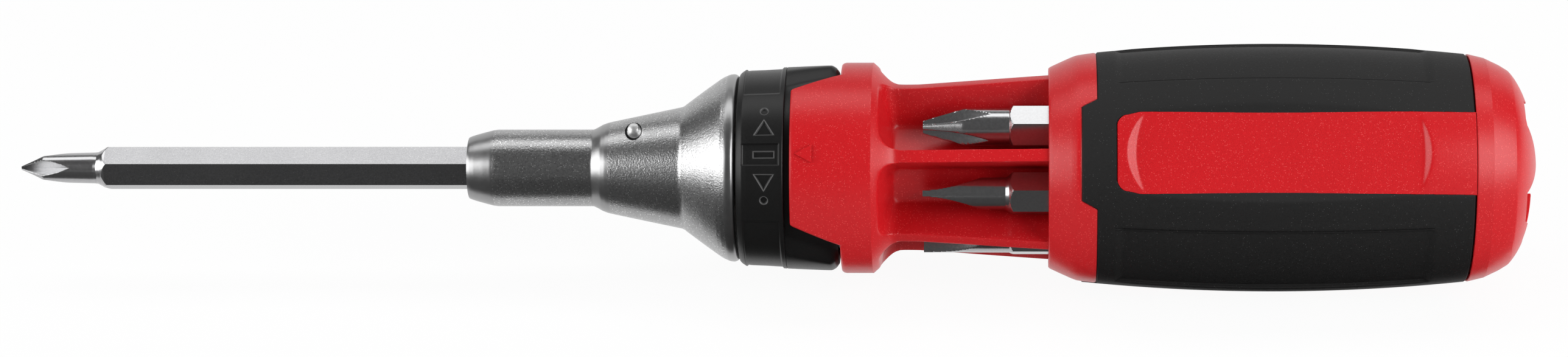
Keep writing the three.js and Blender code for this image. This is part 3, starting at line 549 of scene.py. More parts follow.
def panel_height(across, station):
    """Height of a panel's surface: a plane below the barrel, with a crescent ramp up to the barrel at the
    front and a crescent step at the rear."""
    plane = mm(sizes().crown) - PANEL_SINK
    bow = (across / PANEL_HALF) ** 2
    front = 0.66 * (station - (64.45 - 1.5 * bow))
    rear = 0.7 * (19.2 + 0.8 * bow - station)
    ramp = upper_of(upper_of(front, rear, 0.12), 0.0, 0.12)
    skin = np.sqrt(np.maximum(barrel_radius(station) ** 2 - across ** 2, 1.0))
    return lower_of(plane + ramp, skin - 0.06, 0.14)


def panel_half(station):
    """Half width of a panel: parallel sides, then a taper to a front end with rounded corners."""
    corner = PANEL_FRONT - PANEL_CORNER
    taper = polyline(station, [(PANEL_SHOULDER, PANEL_HALF), (corner, PANEL_HALF - 0.45)])
    ahead = np.clip((station - corner) / PANEL_CORNER, 0, 1)
    return taper - 2.3 * (1 - np.sqrt(1 - ahead ** 2))


def grip_radius(station, angle):
    """Grip radius: the barrel, sunk bands between panels with a crease and a low lip along each side, and
    beside each panel a flat border that leans down to the panel; under a panel it drops out of sight."""
    near = folded(angle, 120.0)
    off = np.abs(near)
    along = window(station, (17.0, 18.6), (66.2, 67.8))
    band = step(off, 38.6, 39.8) * along
    crease = np.exp(-((off - 38.4) / 0.5) ** 2) * along
    lip = np.exp(-((off - 36.6) / 1.6) ** 2) * window(station, (17.0, 20.0), (64.5, 67.5))
    skin = barrel_radius(station) - 0.46 * band - 0.42 * crease + 0.07 * lip
    across = np.abs(skin * np.sin(np.radians(near)))
    half = panel_half(station)
    edge = panel_height(np.minimum(across, half), station) + 0.2 * np.maximum(across - half, 0)
    leaned = edge / np.cos(np.radians(np.clip(near, -40, 40)))
    ahead = step(station, PANEL_FRONT - 1.0, PANEL_FRONT + 0.4)
    radius = np.where(off < 40, lower_of(skin, leaned + 4.0 * ahead, 0.12), skin)
    under = (across < half - 0.03) & (station < PANEL_FRONT - 0.03)
    return np.where(under, radius - 0.7, radius)


def panel_columns():
    """Angles about the axis, closer together at the panels' edges, the tabs and the bands."""
    third = spread((-60, 60, 97), (-29, -17, 49), (17, 29, 49), (-40.2, -37.2, 19), (37.2, 40.2, 19))
    return repeated(third, 3)[None, :]


def build_grip():
    """Grip sleeve as a field of radii over station and angle, rounded and turned in at both ends."""
    angle = panel_columns()
    share = spread((0, 1, 66), (0.0, 0.03, 8), (0.09, 0.14, 12), (0.86, 1.0, 46))[:, None]
    rear, front = CAP_SEAM + 0.22, tab_edge(angle) - 0.02
    station = rear + (front - rear) * share
    near_end = np.clip(np.minimum(station - rear, front - station) / EDGE_ROUND, 0, 1)
    radius = grip_radius(station, angle) - EDGE_ROUND * (1 - np.sqrt(near_end * (2 - near_end)))
    station = np.concatenate([np.full_like(front, rear), station, front], axis=0)
    radius = np.concatenate([radius[:1] - 1.6, radius, radius[-1:] - 1.0], axis=0)
    return surface("Grip_rubber", around(station, radius, angle), True, black_rubber(), "handle",
                   ("grip_sleeve",), sharp=24.0)


def outer_radius(station):
    """Outside of the red body ahead of the grip: flange, tapering ribs, hollow neck and collar."""
    collar = mm(sizes().collar)
    rib = polyline(station, [(FLANGE_FACE - 0.1, 15.82), (99.0, 14.2), (106.0, 14.0)])
    cone = np.minimum(collar - 0.88 * (COLLAR_REAR - station), collar)
    ahead = np.where(station < COLLAR_REAR, upper_of(rib, cone, 0.7), collar)
    ahead = ahead - polyline(station, [(110.75, 0.0), (111.1, 0.08), (COLLAR_FRONT, 0.3)])
    flange = polyline(station, [(70.0, barrel_radius(70.0)), (72.86, 18.34), (73.64, 18.2), (74.4, 17.92),
                                (76.4, 17.02), (77.6, 16.46), (77.9, 16.3), (FLANGE_FACE, 16.1)])
    return np.where(station <= FLANGE_FACE, flange, ahead)


def pocket_radius(station, angle):
    """Bottom of a bit pocket: the highest of its flat floor, the side walls a rib's half width from the ribs'
    middle planes, and a front wall that leans forward and is rounded in plan."""
    off = np.abs(folded(angle - 30.0, 60.0))
    floor = POCKET_FLOOR / np.cos(np.radians(off))
    from_rib = np.sin(np.radians(30.0 - off))
    wall = RIB_HALF / np.maximum(from_rib, 1e-3)
    gap = np.clip(12.5 * from_rib - RIB_HALF, 0.0, POCKET_CORNER)
    bulge = np.sqrt(np.maximum(POCKET_CORNER ** 2 - (POCKET_CORNER - gap) ** 2, 0.0))
    front = POCKET_FRONT - POCKET_CORNER + bulge
    rise = 8.0 + 4.4 * (station - front)
    return upper_of(upper_of(floor, wall, 1.0), rise, 1.7)


def rib_columns():
    """Angles about the axis, closer together where the ribs' walls stand and where the tabs slant."""
    sixth = spread((-30, 30, 41), (-9.2, -3.6, 25), (3.6, 9.2, 25), (-3.6, 3.6, 9))
    return repeated(sixth, 6)[None, :]


def build_body():
    """Red body ahead of the grip as a field of radii: from under the grip's edge over the flange, down its
    face into the pockets, forward between the ribs and over the collar to its front face."""
    angle = rib_columns()
    level = np.zeros_like(angle)
    edge = tab_edge(angle)
    start = edge + 0.03
    flange = start + (FLANGE_FACE - start) * spread((0, 1, 24), (0.9, 1.0, 9))[:, None]
    skin = outer_radius(flange)
    skin[:1] -= 0.12
    waist = spread((FLANGE_FACE, 80.0, 14), (80.0, 100.0, 40), (100.0, 106.6, 60), (106.6, COLLAR_FRONT, 16),
                   (110.7, COLLAR_FRONT, 8))[:, None] + level
    outside = outer_radius(np.maximum(waist, FLANGE_FACE + 0.01))
    ribbed = lower_of(outside, pocket_radius(waist, angle), 0.35)
    face = COLLAR_FRONT + level
    station = np.concatenate([edge - 0.7, edge - 0.02, flange, waist, face, face + 0.02], axis=0)
    radius = np.concatenate([skin[:1] - 1.2, skin[:1] - 0.5, skin, ribbed, level + 16.5, level + 13.3],
                            axis=0)
    return red_piece("Body_moulding", around(station, radius, angle), sharp=32.0, nodes=("handle_body",))


def build_panels():
    """Three panels, each a field of heights over its width and station with its edges turned down."""
    inner = spread((-1, 1, 41), (-1, -0.96, 4), (0.96, 1, 4))
    share = np.concatenate([[-1.0], inner, [1.0]])[None, :]
    drop = np.zeros_like(share)
    drop[:, [1, -2]] = 0.1
    drop[:, [0, -1]] = 0.7
    station = spread((CAP_SEAM + 0.05, 22, 60), (22, 58, 30), (58, PANEL_FRONT, 110))[:, None]
    across = panel_half(station) * share * 0.998
    height = panel_height(across, station) - drop - 0.3 * step(station, PANEL_FRONT - 0.16, PANEL_FRONT)
    for number, angle in enumerate(PANEL_ANGLES):
        red_piece("Panel.%d" % number, beside(station, across, height, angle), sharp=30.0, wrapped=False)


def tongue_points(angle):
    """A tongue: a closed section, an arc of the collar's radius joined to an inner arc, carried forward while
    its half angle narrows and closed over its front end."""
    collar = mm(sizes().collar)
    station = TONGUE_FRONT - np.array([9.0, 8.0, 6.5, 4.5, 2.5, 1.2, 0.6, 0.3, 0.12, 0.03, 0.0, 0.0])[:, None]
    inset = np.array([0, 0, 0, 0, 0, 0, 0, 0.03, 0.12, 0.28, 0.5, 0.9])[:, None]
    half = polyline(station, [(COLLAR_FRONT, 56.0), (TONGUE_FRONT, 41.0)])
    turn = np.linspace(-1, 1, 49)[None, :]
    edge = np.clip((1 - np.abs(turn)) * half / 1.4, 0, 1)
    outer = collar - inset - 0.45 * (1 - np.sqrt(edge * (2 - edge)))
    radii = np.concatenate([outer, np.minimum(TONGUE_INSIDE, outer[:, ::-1])], axis=1)
    angles = np.concatenate([turn * half, turn[:, ::-1] * half], axis=1)
    closing = around(TONGUE_FRONT, 15.8, 0.97 * angles[-1:] + angle)
    return np.concatenate([around(station, radii, angles + angle), closing], axis=0)


def build_tongues():
    """Two tongues, on opposite sides of the collar."""
    for number, angle in enumerate((0.0, 180.0)):
        red_piece("Tongue.%d" % number, tongue_points(angle), sharp=30.0)


def outline(corners, count):
    """Points along a closed line through corners, evenly spread on each side."""
    corners = np.asarray(corners, float)
    share = np.linspace(0, 1, count, endpoint=False)[None, :, None]
    return (corners[:, None] * (1 - share) + np.roll(corners, -1, axis=0)[:, None] * share).reshape(-1, 2)


def build_pointer():
    """A raised triangle: its outline carried up, drawn in by a small bevel and closed at its middle, wrapped
    on the tongue's radius."""
    collar = mm(sizes().collar)
    line = outline([(-1.42, 115.75), (1.42, 115.75), (0.0, 118.45)], 14)
    middle = np.array([0.0, 116.65])
    shrink = np.array([1.0, 1.0, 0.93, 0.5, 0.0])[:, None, None]
    rise = np.array([-0.2, 0.26, 0.36, 0.36, 0.36])[:, None]
    flat = middle + (line - middle)[None] * shrink
    points = around(flat[..., 1], collar + rise, np.degrees(flat[..., 0] / collar))
    return red_piece("Pointer", points, sharp=25.0)


def recess_edge(angle):
    """Edge of the recess in the butt: three lands reach in to a point, with arcs and small lobes between."""
    off = np.abs(folded(angle, 120.0))
    land, lobe, arc = 25.7, 49.6, 12.7
    corners = np.radians([0.0, land, lobe, 60.0])
    radii = np.array([4.5, arc, arc, 11.1])
    x, y = radii * np.cos(corners), radii * np.sin(corners)
    k = np.searchsorted([land, lobe], off)
    dx, dy = x[k + 1] - x[k], y[k + 1] - y[k]
    cosine, sine = np.cos(np.radians(off)), np.sin(np.radians(off))
    straight = (x[k] * dy - y[k] * dx) / (cosine * dy - sine * dx)
    return np.where(k == 1, arc, straight)


def build_cap():
    """End cap: rows of rings from the seam over two cones and an elliptic dome to the recess, down its wall
    and over its floor to the middle."""
    edge = barrel_radius(np.array(CAP_SEAM))
    wide, tall, dome_rim = 0.943 * edge, 7.7, 15.76
    third = spread((-60, 60, 61), (-1.5, 1.5, 7), (24.5, 26.9, 9), (-26.9, -24.5, 9), (48.6, 50.6, 7),
                   (-50.6, -48.6, 7))
    angle = repeated(third, 3)[None, :]
    rim = recess_edge(angle)

    def dome(radius):
        return tall - tall * np.sqrt(np.maximum(1 - (radius / wide) ** 2, 0))

    turned = np.array([(edge - 1.6, CAP_SEAM + 0.02), (edge - 0.25, CAP_SEAM), (edge - 0.06, 10.95),
                       (edge, 10.8), (18.08, 9.74), (17.73, 8.3), (16.58, 5.9), (dome_rim, 4.57)])
    level = np.zeros_like(angle)
    share = spread((0, 1, 22), (0.94, 1.0, 6))[1:, None]
    land = dome_rim + (rim - dome_rim) * share
    land_at = dome(land) + 0.12 * step(share, 0.97, 1.0)
    floor = rim * np.array([1.0, 0.985, 0.96, 0.8, 0.6, 0.4, 0.2, 0.0])[:, None]
    floor_at = BUTT_FLOOR + 0.33 * np.maximum(floor - 7.5, 0.0)
    floor_at[:1] = np.maximum(floor_at[:1] - 0.25, dome(rim) + 0.15)
    radius = np.concatenate([turned[:, :1] + level, land, floor], axis=0)
    floor_at = np.maximum(floor_at, dome(floor) + 0.1)
    station = np.concatenate([turned[:, 1:] + level, land_at, floor_at], axis=0)
    return red_piece("End_cap", around(station, radius, angle), sharp=9.0, nodes=("end_cap",))


def icon_distance(across, station):
    """Distance to the nearest engraved sign on the selector: a bar in the middle, a triangle each side that
    points away from it, and a dot beyond each triangle. Negative inside."""
    band = mm(sizes().band)
    along, side = np.abs(station - SIGN_STATION), np.abs(across)
    bar = np.maximum(side - 0.52, along - 1.66)
    length, half = 2.6, 1.55
    local = side - np.radians(ARROW_ANGLE) * band
    slant = (along * length + (local - length / 2) * half) / np.hypot(length, half)
    arrow = np.maximum(-length / 2 - local, slant)
    dot = np.hypot(side - np.radians(DOT_ANGLE) * band, along) - 0.62
    return np.minimum(np.minimum(bar, arrow), dot)


def ring_radius(station, angle):
    """Selector radius: sleeve, band with a front chamfer, pads with a sunk middle, engraved signs and two
    thumb wings whose flanks slope down to the sleeve. Also gives where the signs' edges are."""
    band = mm(sizes().band)
    sleeve = band - 1.3
    ring = band - polyline(station, [(RING_REAR, 0.1), (120.36, -0.1), (120.5, -0.18), (123.8, 0.01),
                                     (126.2, 0.1), (127.0, 0.2), (127.4, 0.45), (127.8, 0.75),
                                     (RING_FRONT, 0.95)])
    turn = folded(angle, 360.0)
    off = np.abs(turn)
    reach = window(station, (120.9, 121.2), (126.7, 127.0))
    middle = 1 - step(off, 5.5, 6.5)
    beyond = step(off, 38.4, 41.2)
    ring = ring - (0.3 * middle + 0.26 * beyond) * reach
    signed = off < SIGNS_END
    sign = icon_distance(np.radians(turn) * band, station)
    # Where the signs' edges are: the selector's finish paints them lighter as a painted highlight.
    edge_highlight = np.where(signed, np.exp(-(sign / 0.08) ** 2), 0.0)
    ring = ring - np.where(signed, 0.34 * (1 - step(sign, -0.16, 0.05)), 0.0)
    wing_off = np.abs(folded(angle - 90.0, 180.0))
    share = np.clip((station - WING_REAR) / (RING_REAR - WING_REAR), 0, 1)
    ridge, foot = 12.5 + 12.0 * share, 19.5 + 16.5 * share
    crest = curve(station, [(111.7, 15.2), (112.1, 15.85), (112.5, 16.32), (113.3, 16.66), (115.9, 16.58),
                            (120.6, band + 0.18)])
    slope = (crest - sleeve) / (foot - ridge)
    wing = lower_of(crest, crest - slope * (wing_off - ridge), 0.25)
    rear = upper_of(sleeve, wing, 0.12)
    return np.where(station < RING_REAR, rear, np.maximum(ring, sleeve)), edge_highlight


def build_selector():
    """Selector ring as a field of radii over station and angle, fine where it is engraved, closed at both
    ends."""
    angle = spread((-42, 42, 301), (42, 318, 185))[None, :-1]
    level = np.zeros_like(angle)
    station = spread((WING_REAR, RING_REAR - 0.02, 40), (WING_REAR, 113.4, 14), (RING_REAR, 121.4, 16),
                     (121.4, 121.5, 2), (121.5, 125.3, 60), (125.3, RING_FRONT, 24))[:, None]
    radius, edge_highlight = ring_radius(station, angle)
    radius = np.concatenate([level + 13.4, radius, level + 13.6], axis=0)
    edge_highlight = np.concatenate([edge_highlight[:1], edge_highlight, edge_highlight[-1:]], axis=0)
    station = np.concatenate([[[WING_REAR]], station, [[RING_FRONT]]], axis=0)
    return surface("Selector_ring", around(station, radius, angle), True, selector_plastic(), "selector",
                   ("selector_ring",), sharp=34.0, values=edge_highlight)


def nose_radius(station):
    """Nose radius: rim, steep cone, shallow cone, hollow step and a straight barrel with a front chamfer."""
    rim, barrel = mm(sizes().rim), mm(sizes().barrel)
    return polyline(station, [
        (NOSE_REAR, rim - 0.42), (128.4, rim - 0.24), (128.7, rim - 0.06), (129.0, rim), (129.5, rim - 0.04),
        (129.8, rim - 0.12), (130.6, rim - 0.46), (131.3, rim - 0.88), (133.8, 12.6), (136.15, 10.86),
        (136.7, 10.45), (137.1, 10.12), (137.5, 9.92), (143.7, 8.63), (148.9, 7.54), (149.7, 7.34),
        (150.5, 7.05), (151.3, 6.6), (151.7, 6.4), (152.0, barrel), (167.6, barrel), (168.4, barrel - 0.1),
        (169.6, barrel - 0.4), (171.2, barrel - 0.84), (172.0, barrel - 1.1), (NOSE_FRONT, barrel - 1.26)])


def polished(station):
    """Where the nose is polished: its rim, the hollow step and the front chamfer."""
    return (station < 129.9) | (station > 168.2) | ((station > 149.2) & (station < 152.2))


def build_nose():
    """Nose as a field of radii with a pin hole: points inside the hole's circle, seen along the hole, sink to
    the pin, and those near its edge are drawn onto the edge."""
    angle = spread((0, 360, 145), (20, 75, 181))[None, :-1]
    station = spread((NOSE_REAR, 131.4, 30), (131.4, 137.6, 34), (137.6, 143.4, 20), (143.4, 146.7, 60),
                     (146.7, 152.2, 30), (152.2, 167.6, 16), (167.6, NOSE_FRONT, 26))[:, None]
    radius = nose_radius(station)
    turn = np.radians(angle - DRIVE_ROLL)
    across, height = radius * np.sin(turn), radius * np.cos(turn)
    side, along = across - PIN_OFFSET, station - PIN_STATION
    reach = np.hypot(side, along)
    inside = (reach < PIN_HOLE + 0.05) & (height > 0)
    grow = np.where(inside & (reach > PIN_HOLE - 0.12), PIN_HOLE / np.maximum(reach, 1e-6), 1.0)
    height = np.where(inside & (reach < PIN_HOLE - 0.06), 3.2, height)
    rear = around(NOSE_REAR + 0.05, np.array([[11.0], [12.5]]), angle)
    shell = beside(PIN_STATION + along * grow, PIN_OFFSET + side * grow, height, DRIVE_ROLL)
    mouth_at, mouth = np.array([[NOSE_FRONT, 4.75], [171.9, 3.75], [164.0, 3.7]]).T[:, :, None]
    points = np.concatenate([rear, shell, around(mouth_at, mouth, angle)], axis=0)
    nose = surface("Nose_shell", points, True, blasted_plating(), "drive", ("nose_housing",),
                   sharp=24.0)
    second_finish(nose, polished_plating(), polished)
    return nose


def build_pin():
    """End of the cross pin: a disc domed to its middle, with a chamfer, square to the hole."""
    angle = np.linspace(0, 2 * np.pi, 48, endpoint=False)[None, :]
    height, reach = np.array([(0.0, 1.35), (4.2, 1.35), (4.5, 1.28), (4.75, 1.1), (5.0, 0.7), (5.1, 0.3),
                              (5.12, 0.0)]).T[:, :, None]
    across, along = reach * np.sin(angle), reach * np.cos(angle)
    points = beside(PIN_STATION + along, PIN_OFFSET + across, height, DRIVE_ROLL)
    turned = plain_metal("Turned pin", (0.86, 0.86, 0.86), scale=1800.0, contrast=0.1, bump=0.1,
                         rough=(0.32, 0.44))
    return surface("Cross_pin", points, True, turned, "drive", ("spindle_pin",), sharp=20.0)


def hex_radius(angle, flats):
    """Distance from the middle of a hexagon to its side in a direction; a flat faces angle 0."""
    return 0.5 * flats / np.cos(np.radians(folded(angle, 60.0)))


def flute_radius(ahead, run, core, shank, angle):
    """Four flutes of a cross tip: a groove with square walls whose bottom runs out from the core to the
    shank. Behind the run it is wider than the shank and cuts nothing."""
    share = np.clip(ahead / run, 0, 1)
    depth = core + (1.25 * shank - core) * share ** 2
    off = np.radians(np.abs(folded(angle, 90.0)))
    return np.where(ahead < run, depth / np.maximum(np.cos(off) - np.sin(off), 0.02), 2.0 * shank)


def blade_radius(ahead, run, half, shank, angle):
    """A flat blade: two faces whose distance apart grows along a hollow curve from the edge to the shank.
    Behind the run it is wider than the shank and cuts nothing."""
    share = np.clip(ahead / run, 0, 1)
    thick = half + (1.1 * shank - half) * share ** 1.7
    return np.where(ahead < run, thick / np.maximum(np.abs(np.cos(np.radians(angle))), 0.02), 2.0 * shank)


def closed_ends(along, radius):
    """Adds a row at each end that closes a field of radii at its axis."""
    ends = np.zeros_like(radius[:1])
    return (np.concatenate([along[:1], along, along[-1:]], axis=0),
            np.concatenate([ends, radius, ends], axis=0))


def build_shaft():
    """Shaft as a field of radii: hex bar between two turned shanks, the front one ground to a cross tip and
    the rear one to a flat blade, each closed at its end."""
    angle = (HEX_ROLL + 30.0 + np.arange(0, 360, 1.0))[None, :]
    station = spread((SHAFT_REAR, 153.6, 14), (153.6, 163.0, 6), (163.0, 165.0, 10), (165.0, 231.6, 8),
                     (231.6, 234.6, 30), (234.6, 237.0, 6), (237.0, TIP, 150))[:, None]
    turned = polyline(station, [(SHAFT_REAR, 2.2), (149.75, SHANK), (163.0, SHANK), (163.6, 3.05),
                                (164.4, 3.75), (231.7, 3.75), (BAR_FRONT, 3.45), (232.9, 3.0), (233.65, 2.62),
                                (234.2, 2.55), (242.5, 2.34), (242.75, 2.26), (246.3, 0.4), (TIP, 0.28)])
    radius = np.minimum(turned, hex_radius(angle - HEX_ROLL, mm(sizes().flats)))
    radius = np.minimum(radius, flute_radius(TIP - station, run=9.5, core=0.12, shank=SHANK,
                                             angle=angle - DRIVE_ROLL))
    radius = np.minimum(radius, blade_radius(station - SHAFT_REAR, run=7.0, half=0.45, shank=SHANK,
                                             angle=angle))
    station, radius = closed_ends(station, radius)
    shaft = surface("Drive_shaft", around(station, radius, angle), True, dark_steel(), "shaft",
                    ("driver_shaft",), sharp=26.0)
    second_finish(shaft, shared(bright_steel), lambda at: (at < BAR_REAR) | (at > BAR_FRONT))
    return shaft


def bit_points(angle, neck, tip):
    """A stored bit as a field of radii about its own axis: chamfered hex, turned neck and a tip cut by a
    field that depends on the distance from the front end; closed at both ends."""
    flats = mm(sizes().flats)
    corner = flats / np.sqrt(3.0) + 0.05
    turn = np.arange(0, 360, 3.0)[None, :] + 30.0
    along = spread((0, 0.9, 8), (0.9, 10.3, 6), (10.3, 12.4, 18), (12.4, BIT_LENGTH, 60))[:, None]
    turned = polyline(along, [(0.0, 0.5 * flats), (0.6, corner), (10.5, corner),
                              (11.2, max(neck, 0.46 * flats)), (11.8, neck)])
    radius = np.minimum(turned, hex_radius(turn, flats))
    radius = np.minimum(radius, tip(BIT_LENGTH - along, turn))
    along, radius = closed_ends(along, radius)
    across, out = radius * np.sin(np.radians(turn)), radius * np.cos(np.radians(turn))
    return beside(BIT_REAR + along, across, mm(sizes().circle) + out, angle)


def cross_tip(neck, core, point, roll):
    """Field of a cross tip: a cone from its blunt point to the neck, cut by four flutes."""
    def field(ahead, turn):
        cone = point + ahead * (neck - point) / (0.26 * BIT_LENGTH)
        return np.minimum(cone, flute_radius(ahead, run=12.4, core=core, shank=neck, angle=turn - roll))
    return field


def blade_tip(neck, half, run, roll):
    """Field of a blade tip."""
    def field(ahead, turn):
        return blade_radius(ahead, run, half, neck, turn - roll)
    return field


def square_tip(half):
    """Field of a square tip: a square block with a slightly drawn-in end, and a cone behind it."""
    def field(ahead, turn):
        block = half / np.cos(np.radians(folded(turn, 90.0)))
        shoulder = 1.25 * half + 0.9 * np.maximum(ahead - 5.0, 0.0)
        point = 1.05 * half + 1.2 * ahead
        return np.minimum(np.where(ahead < 5.2, block, np.maximum(block, shoulder)), point)
    return field


def build_bits():
    """Six stored bits: two cross tips, two blades and two square tips, each with its angle and neck."""
    bits = [
        ("cross_large", 30.0, 3.0, cross_tip(neck=3.0, core=0.65, point=1.05, roll=7.6)),
        ("square_small", 90.0, 2.6, square_tip(half=1.15)),
        ("cross_small", 150.0, 2.2, cross_tip(neck=2.2, core=0.35, point=0.6, roll=0.0)),
        ("square_large", 210.0, 2.6, square_tip(half=1.4)),
        ("blade_wide", 270.0, 3.1, blade_tip(neck=3.1, half=0.6, run=11.5, roll=82.6)),
        ("blade_narrow", 330.0, 2.55, blade_tip(neck=2.55, half=0.5, run=10.0, roll=-67.4)),
    ]
    for name, angle, neck, tip in bits:
        surface("Stored_" + name, bit_points(angle, neck, tip), True, shared(bright_steel), "stored_" + name,
                ("bit_" + name,), sharp=18.0)


def build_mechanism():
    """Procedural metals on the inner pieces that keep their own solids."""
    chosen = {
        "spring_steel": plain_metal("Spring wire", (0.25, 0.26, 0.28), scale=700.0, contrast=0.12, bump=0.05,
                                    rough=(0.18, 0.32)),
        "bronze": plain_metal("Sintered bronze", colours().bronze, scale=1600.0, contrast=0.25, bump=0.25,
                              rough=(0.38, 0.55)),
        "magnet": plain_metal("Plated magnet", (0.5, 0.5, 0.52), scale=900.0, contrast=0.1, bump=0.05,
                              rough=(0.12, 0.24)),
    }
    slots = {part["node"]: part["material_slot"] for part in frame["record"]["subparts"]}
    for name, node in frame["nodes"].items():
        node.data.materials.clear()
        node.data.materials.append(chosen.get(slots.get(name), shared(bright_steel)))


def camera_axes():
    """Directions of the view in the frame: toward the camera and up in the picture."""
    yaw, turn = np.radians(VIEW_YAW), np.radians(DRIVE_ROLL + REST_ROLL)
    back = Vector((np.sin(yaw), np.cos(yaw) * np.sin(turn), np.cos(yaw) * np.cos(turn)))
    right = (Vector((1, 0, 0)) - back * back.x).normalized()
    return back, back.cross(right)


def aim_at(thing, spot, target, up):
    """Turns a lamp or camera so that its -Z looks from a spot at a target."""
    back = (spot - target).normalized()
    right = up.cross(back).normalized()
    thing.matrix_world = Matrix((right, back.cross(right), back)).transposed().to_4x4()
    thing.matrix_world.translation = spot


def sheet(name, across, depth, height, finish):
    """A grid of points made into a mesh object: across runs along X, depth along Y and height is up."""
    points = np.stack(np.broadcast_arrays(across, depth, height), axis=-1)
    mesh = bpy.data.meshes.new(name)
    mesh.from_pydata(points.reshape(-1, 3), [], quads(*points.shape[:2], False))
    mesh.shade_smooth()
    mesh.materials.append(finish)
    thing = bpy.data.objects.new(name, mesh)
    bpy.context.scene.collection.objects.link(thing)
    return thing


def white_floor():
    """A pale matt floor that mostly glows for the camera, reflections and transmission, and takes light and
    shadow as a plain surface for the rest."""
    finish, tree, shader = new_finish("White floor")
    add_grain(tree, shader, (0.96, 0.96, 0.96), scale=30.0, contrast=0.01, bump=0.0)
    set_inputs(shader, {"Roughness": 0.9, "Specular IOR Level": 0.1})
    path, glow = tree.nodes.new("ShaderNodeLightPath"), tree.nodes.new("ShaderNodeEmission")
    seen, seen_too = tree.nodes.new("ShaderNodeMath"), tree.nodes.new("ShaderNodeMath")
    part, mix = tree.nodes.new("ShaderNodeMath"), tree.nodes.new("ShaderNodeMixShader")
    seen.operation = seen_too.operation = "MAXIMUM"
    part.operation = "MULTIPLY"
    part.inputs[1].default_value = 0.94
    link(tree, (path.outputs["Is Camera Ray"], seen.inputs[0]),
         (path.outputs["Is Glossy Ray"], seen.inputs[1]),
         (seen.outputs[0], seen_too.inputs[0]), (path.outputs["Is Transmission Ray"], seen_too.inputs[1]),
         (seen_too.outputs[0], part.inputs[0]), (part.outputs[0], mix.inputs[0]),
         (shader.outputs["BSDF"], mix.inputs[1]), (glow.outputs[0], mix.inputs[2]),
         (mix.outputs[0], tree.nodes["Material Output"].inputs["Surface"]))
    return finish


def black_card():
    """Dull black card."""
    finish, tree, shader = new_finish("Black card")
    add_grain(tree, shader, (0.07, 0.07, 0.07), scale=60.0, contrast=0.2, bump=0.0)
    set_inputs(shader, {"Roughness": 0.8})
    return finish


def build_floor():
    """A wide floor: a grid that lies under the tool and curves up far behind it."""
    across = np.linspace(-3, 3, 13)[None, :]
    depth, rise = np.array([(-3, 0), (-1, 0), (0, 0), (1, 0), (2, 0), (2.4, 0.04), (2.7, 0.15), (2.9, 0.35),
                            (3.0, 0.8), (3.0, 3.0)]).T[:, :, None]
    sheet("Floor", across, depth, rise + CAD_BOX[0][2] - FLOOR_GAP, white_floor())


def build_card():
    """A black card that lies on the floor ahead of the tool, seen only in reflections."""
    across = np.linspace(-0.6, 0.35, 3)[None, :]
    depth = np.linspace(-0.9, -0.009, 3)[:, None]
    card = sheet("Black_card", across, depth, CAD_BOX[0][2] + FLOOR_GAP, black_card())
    card.visible_camera = card.visible_diffuse = card.visible_shadow = False


def softbox(name, left, rise, size, power, up):
    """A rectangular lamp that shines at the tool's middle from a direction given in degrees to the left of
    straight ahead and degrees above the floor."""
    lamp = bpy.data.lights.new(name, "AREA")
    lamp.shape = "RECTANGLE"
    lamp.size, lamp.size_y = size
    lamp.energy = power
    thing = bpy.data.objects.new(name, lamp)
    bpy.context.scene.collection.objects.link(thing)
    a, e = np.radians(left), np.radians(rise)
    away = Vector((-np.cos(e) * np.sin(a), -np.cos(e) * np.cos(a), np.sin(e)))
    middle = Vector((LAMP_MIDDLE, 0.0, 0.0))
    aim_at(thing, middle + away * LAMP_DISTANCE, middle, up)


def build_lights():
    """A softbox beyond each end of the tool, a strip above it and a dim grey world."""
    upright, ahead = Vector((0, 0, 1)), Vector((0, 1, 0))
    softbox("Tip softbox", left=68, rise=18, size=(0.7, 0.5), power=4.4, up=upright)
    softbox("Butt softbox", left=-60, rise=22, size=(0.65, 0.5), power=5.2, up=upright)
    softbox("Top strip", left=0, rise=102, size=(1.4, 0.34), power=3.4, up=ahead)
    world = bpy.data.worlds.new("Studio")
    bpy.context.scene.world = world
    world.use_nodes = True
    set_inputs(world.node_tree.nodes["Background"], {"Color": (0.5, 0.5, 0.5, 1), "Strength": 0.26})


def build_camera():
    """The camera, level with the picture's axes and aimed at the middle of the view."""
    back, up = camera_axes()
    lens = bpy.data.cameras.new("Camera")
    lens.sensor_width = SENSOR_WIDTH
    lens.sensor_fit = "HORIZONTAL"
    lens.lens = FOCAL_LENGTH
    lens.clip_start = 0.01
    camera = bpy.data.objects.new("Camera", lens)
    bpy.context.scene.collection.objects.link(camera)
    target = Vector((VIEW_MIDDLE, 0.0, 0.0)) - up * VIEW_DROP
    aim_at(camera, target + back * CAMERA_DISTANCE, target, up)
    bpy.context.scene.camera = camera
    bpy.context.scene.view_settings.view_transform = "Standard"


class PieceBuilder:
    """Runs the functions that an operator names, in their order"""

    builders = ()

    def execute(self, context):
        for build in self.builders:
            build()
        return {"FINISHED"}


class SCREWDRIVER_OT_mechanism(PieceBuilder, bpy.types.Operator):
    """Give the inner pieces their metals"""

    bl_idname = "screwdriver.mechanism"
    bl_label = "Mechanism finishes"
    builders = (build_mechanism,)


class SCREWDRIVER_OT_body(PieceBuilder, bpy.types.Operator):
    """Build the red body, panels, tongues and pointer"""

    bl_idname = "screwdriver.body"
    bl_label = "Red body"
    builders = (build_body, build_panels, build_tongues, build_pointer)


class SCREWDRIVER_OT_grip(PieceBuilder, bpy.types.Operator):
    """Build the rubber grip"""

    bl_idname = "screwdriver.grip"
    bl_label = "Grip"
    builders = (build_grip,)


class SCREWDRIVER_OT_cap(PieceBuilder, bpy.types.Operator):
    """Build the end cap"""

    bl_idname = "screwdriver.cap"
    bl_label = "End cap"
    builders = (build_cap,)


class SCREWDRIVER_OT_selector(PieceBuilder, bpy.types.Operator):
    """Build the selector ring"""

    bl_idname = "screwdriver.selector"
    bl_label = "Selector ring"
    builders = (build_selector,)


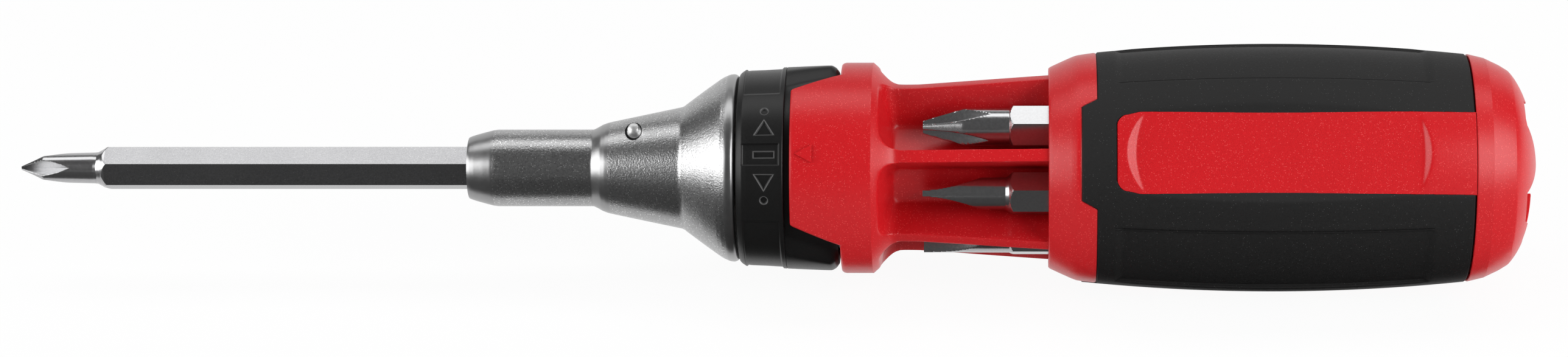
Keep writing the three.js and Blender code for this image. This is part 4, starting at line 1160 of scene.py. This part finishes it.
class SCREWDRIVER_OT_nose(PieceBuilder, bpy.types.Operator):
    """Build the nose and its cross pin"""

    bl_idname = "screwdriver.nose"
    bl_label = "Nose"
    builders = (build_nose, build_pin)


class SCREWDRIVER_OT_shaft(PieceBuilder, bpy.types.Operator):
    """Build the drive shaft"""

    bl_idname = "screwdriver.shaft"
    bl_label = "Shaft"
    builders = (build_shaft,)


class SCREWDRIVER_OT_bits(PieceBuilder, bpy.types.Operator):
    """Build the six stored bits"""

    bl_idname = "screwdriver.bits"
    bl_label = "Stored bits"
    builders = (build_bits,)


class SCREWDRIVER_OT_stage(PieceBuilder, bpy.types.Operator):
    """Set the floor, card, lamps, world and camera"""

    bl_idname = "screwdriver.stage"
    bl_label = "Stage"
    builders = (build_floor, build_card, build_lights, build_camera)


OPERATORS = (SCREWDRIVER_OT_mechanism, SCREWDRIVER_OT_body, SCREWDRIVER_OT_grip, SCREWDRIVER_OT_cap,
             SCREWDRIVER_OT_selector, SCREWDRIVER_OT_nose, SCREWDRIVER_OT_shaft, SCREWDRIVER_OT_bits,
             SCREWDRIVER_OT_stage)


class SCREWDRIVER_PT_panel(bpy.types.Panel):
    """Lists the pieces of the screwdriver"""

    bl_label = "Screwdriver"
    bl_idname = "SCREWDRIVER_PT_panel"
    bl_space_type = "VIEW_3D"
    bl_region_type = "UI"
    bl_category = "Screwdriver"

    def draw(self, context):
        for operator in OPERATORS:
            self.layout.operator(operator.bl_idname)
        for group in (context.scene.screwdriver_sizes, context.scene.screwdriver_colours):
            for name in group.__annotations__:
                self.layout.prop(group, name)


CLASSES = (ScrewdriverSizes, ScrewdriverColours, *OPERATORS, SCREWDRIVER_PT_panel)


def register():
    """Adds the operators, the panel and the settings."""
    for each in CLASSES:
        bpy.utils.register_class(each)
    bpy.types.Scene.screwdriver_sizes = PointerProperty(type=ScrewdriverSizes)
    bpy.types.Scene.screwdriver_colours = PointerProperty(type=ScrewdriverColours)


def unregister():
    """Takes them away again."""
    del bpy.types.Scene.screwdriver_sizes
    del bpy.types.Scene.screwdriver_colours
    for each in reversed(CLASSES):
        bpy.utils.unregister_class(each)


def main():
    """Builds all pieces and the stage."""
    register()
    bpy.ops.screwdriver.mechanism()
    bpy.ops.screwdriver.body()
    bpy.ops.screwdriver.grip()
    bpy.ops.screwdriver.cap()
    bpy.ops.screwdriver.selector()
    bpy.ops.screwdriver.nose()
    bpy.ops.screwdriver.shaft()
    bpy.ops.screwdriver.bits()
    bpy.ops.screwdriver.stage()


if __name__ == "__main__":
    main()
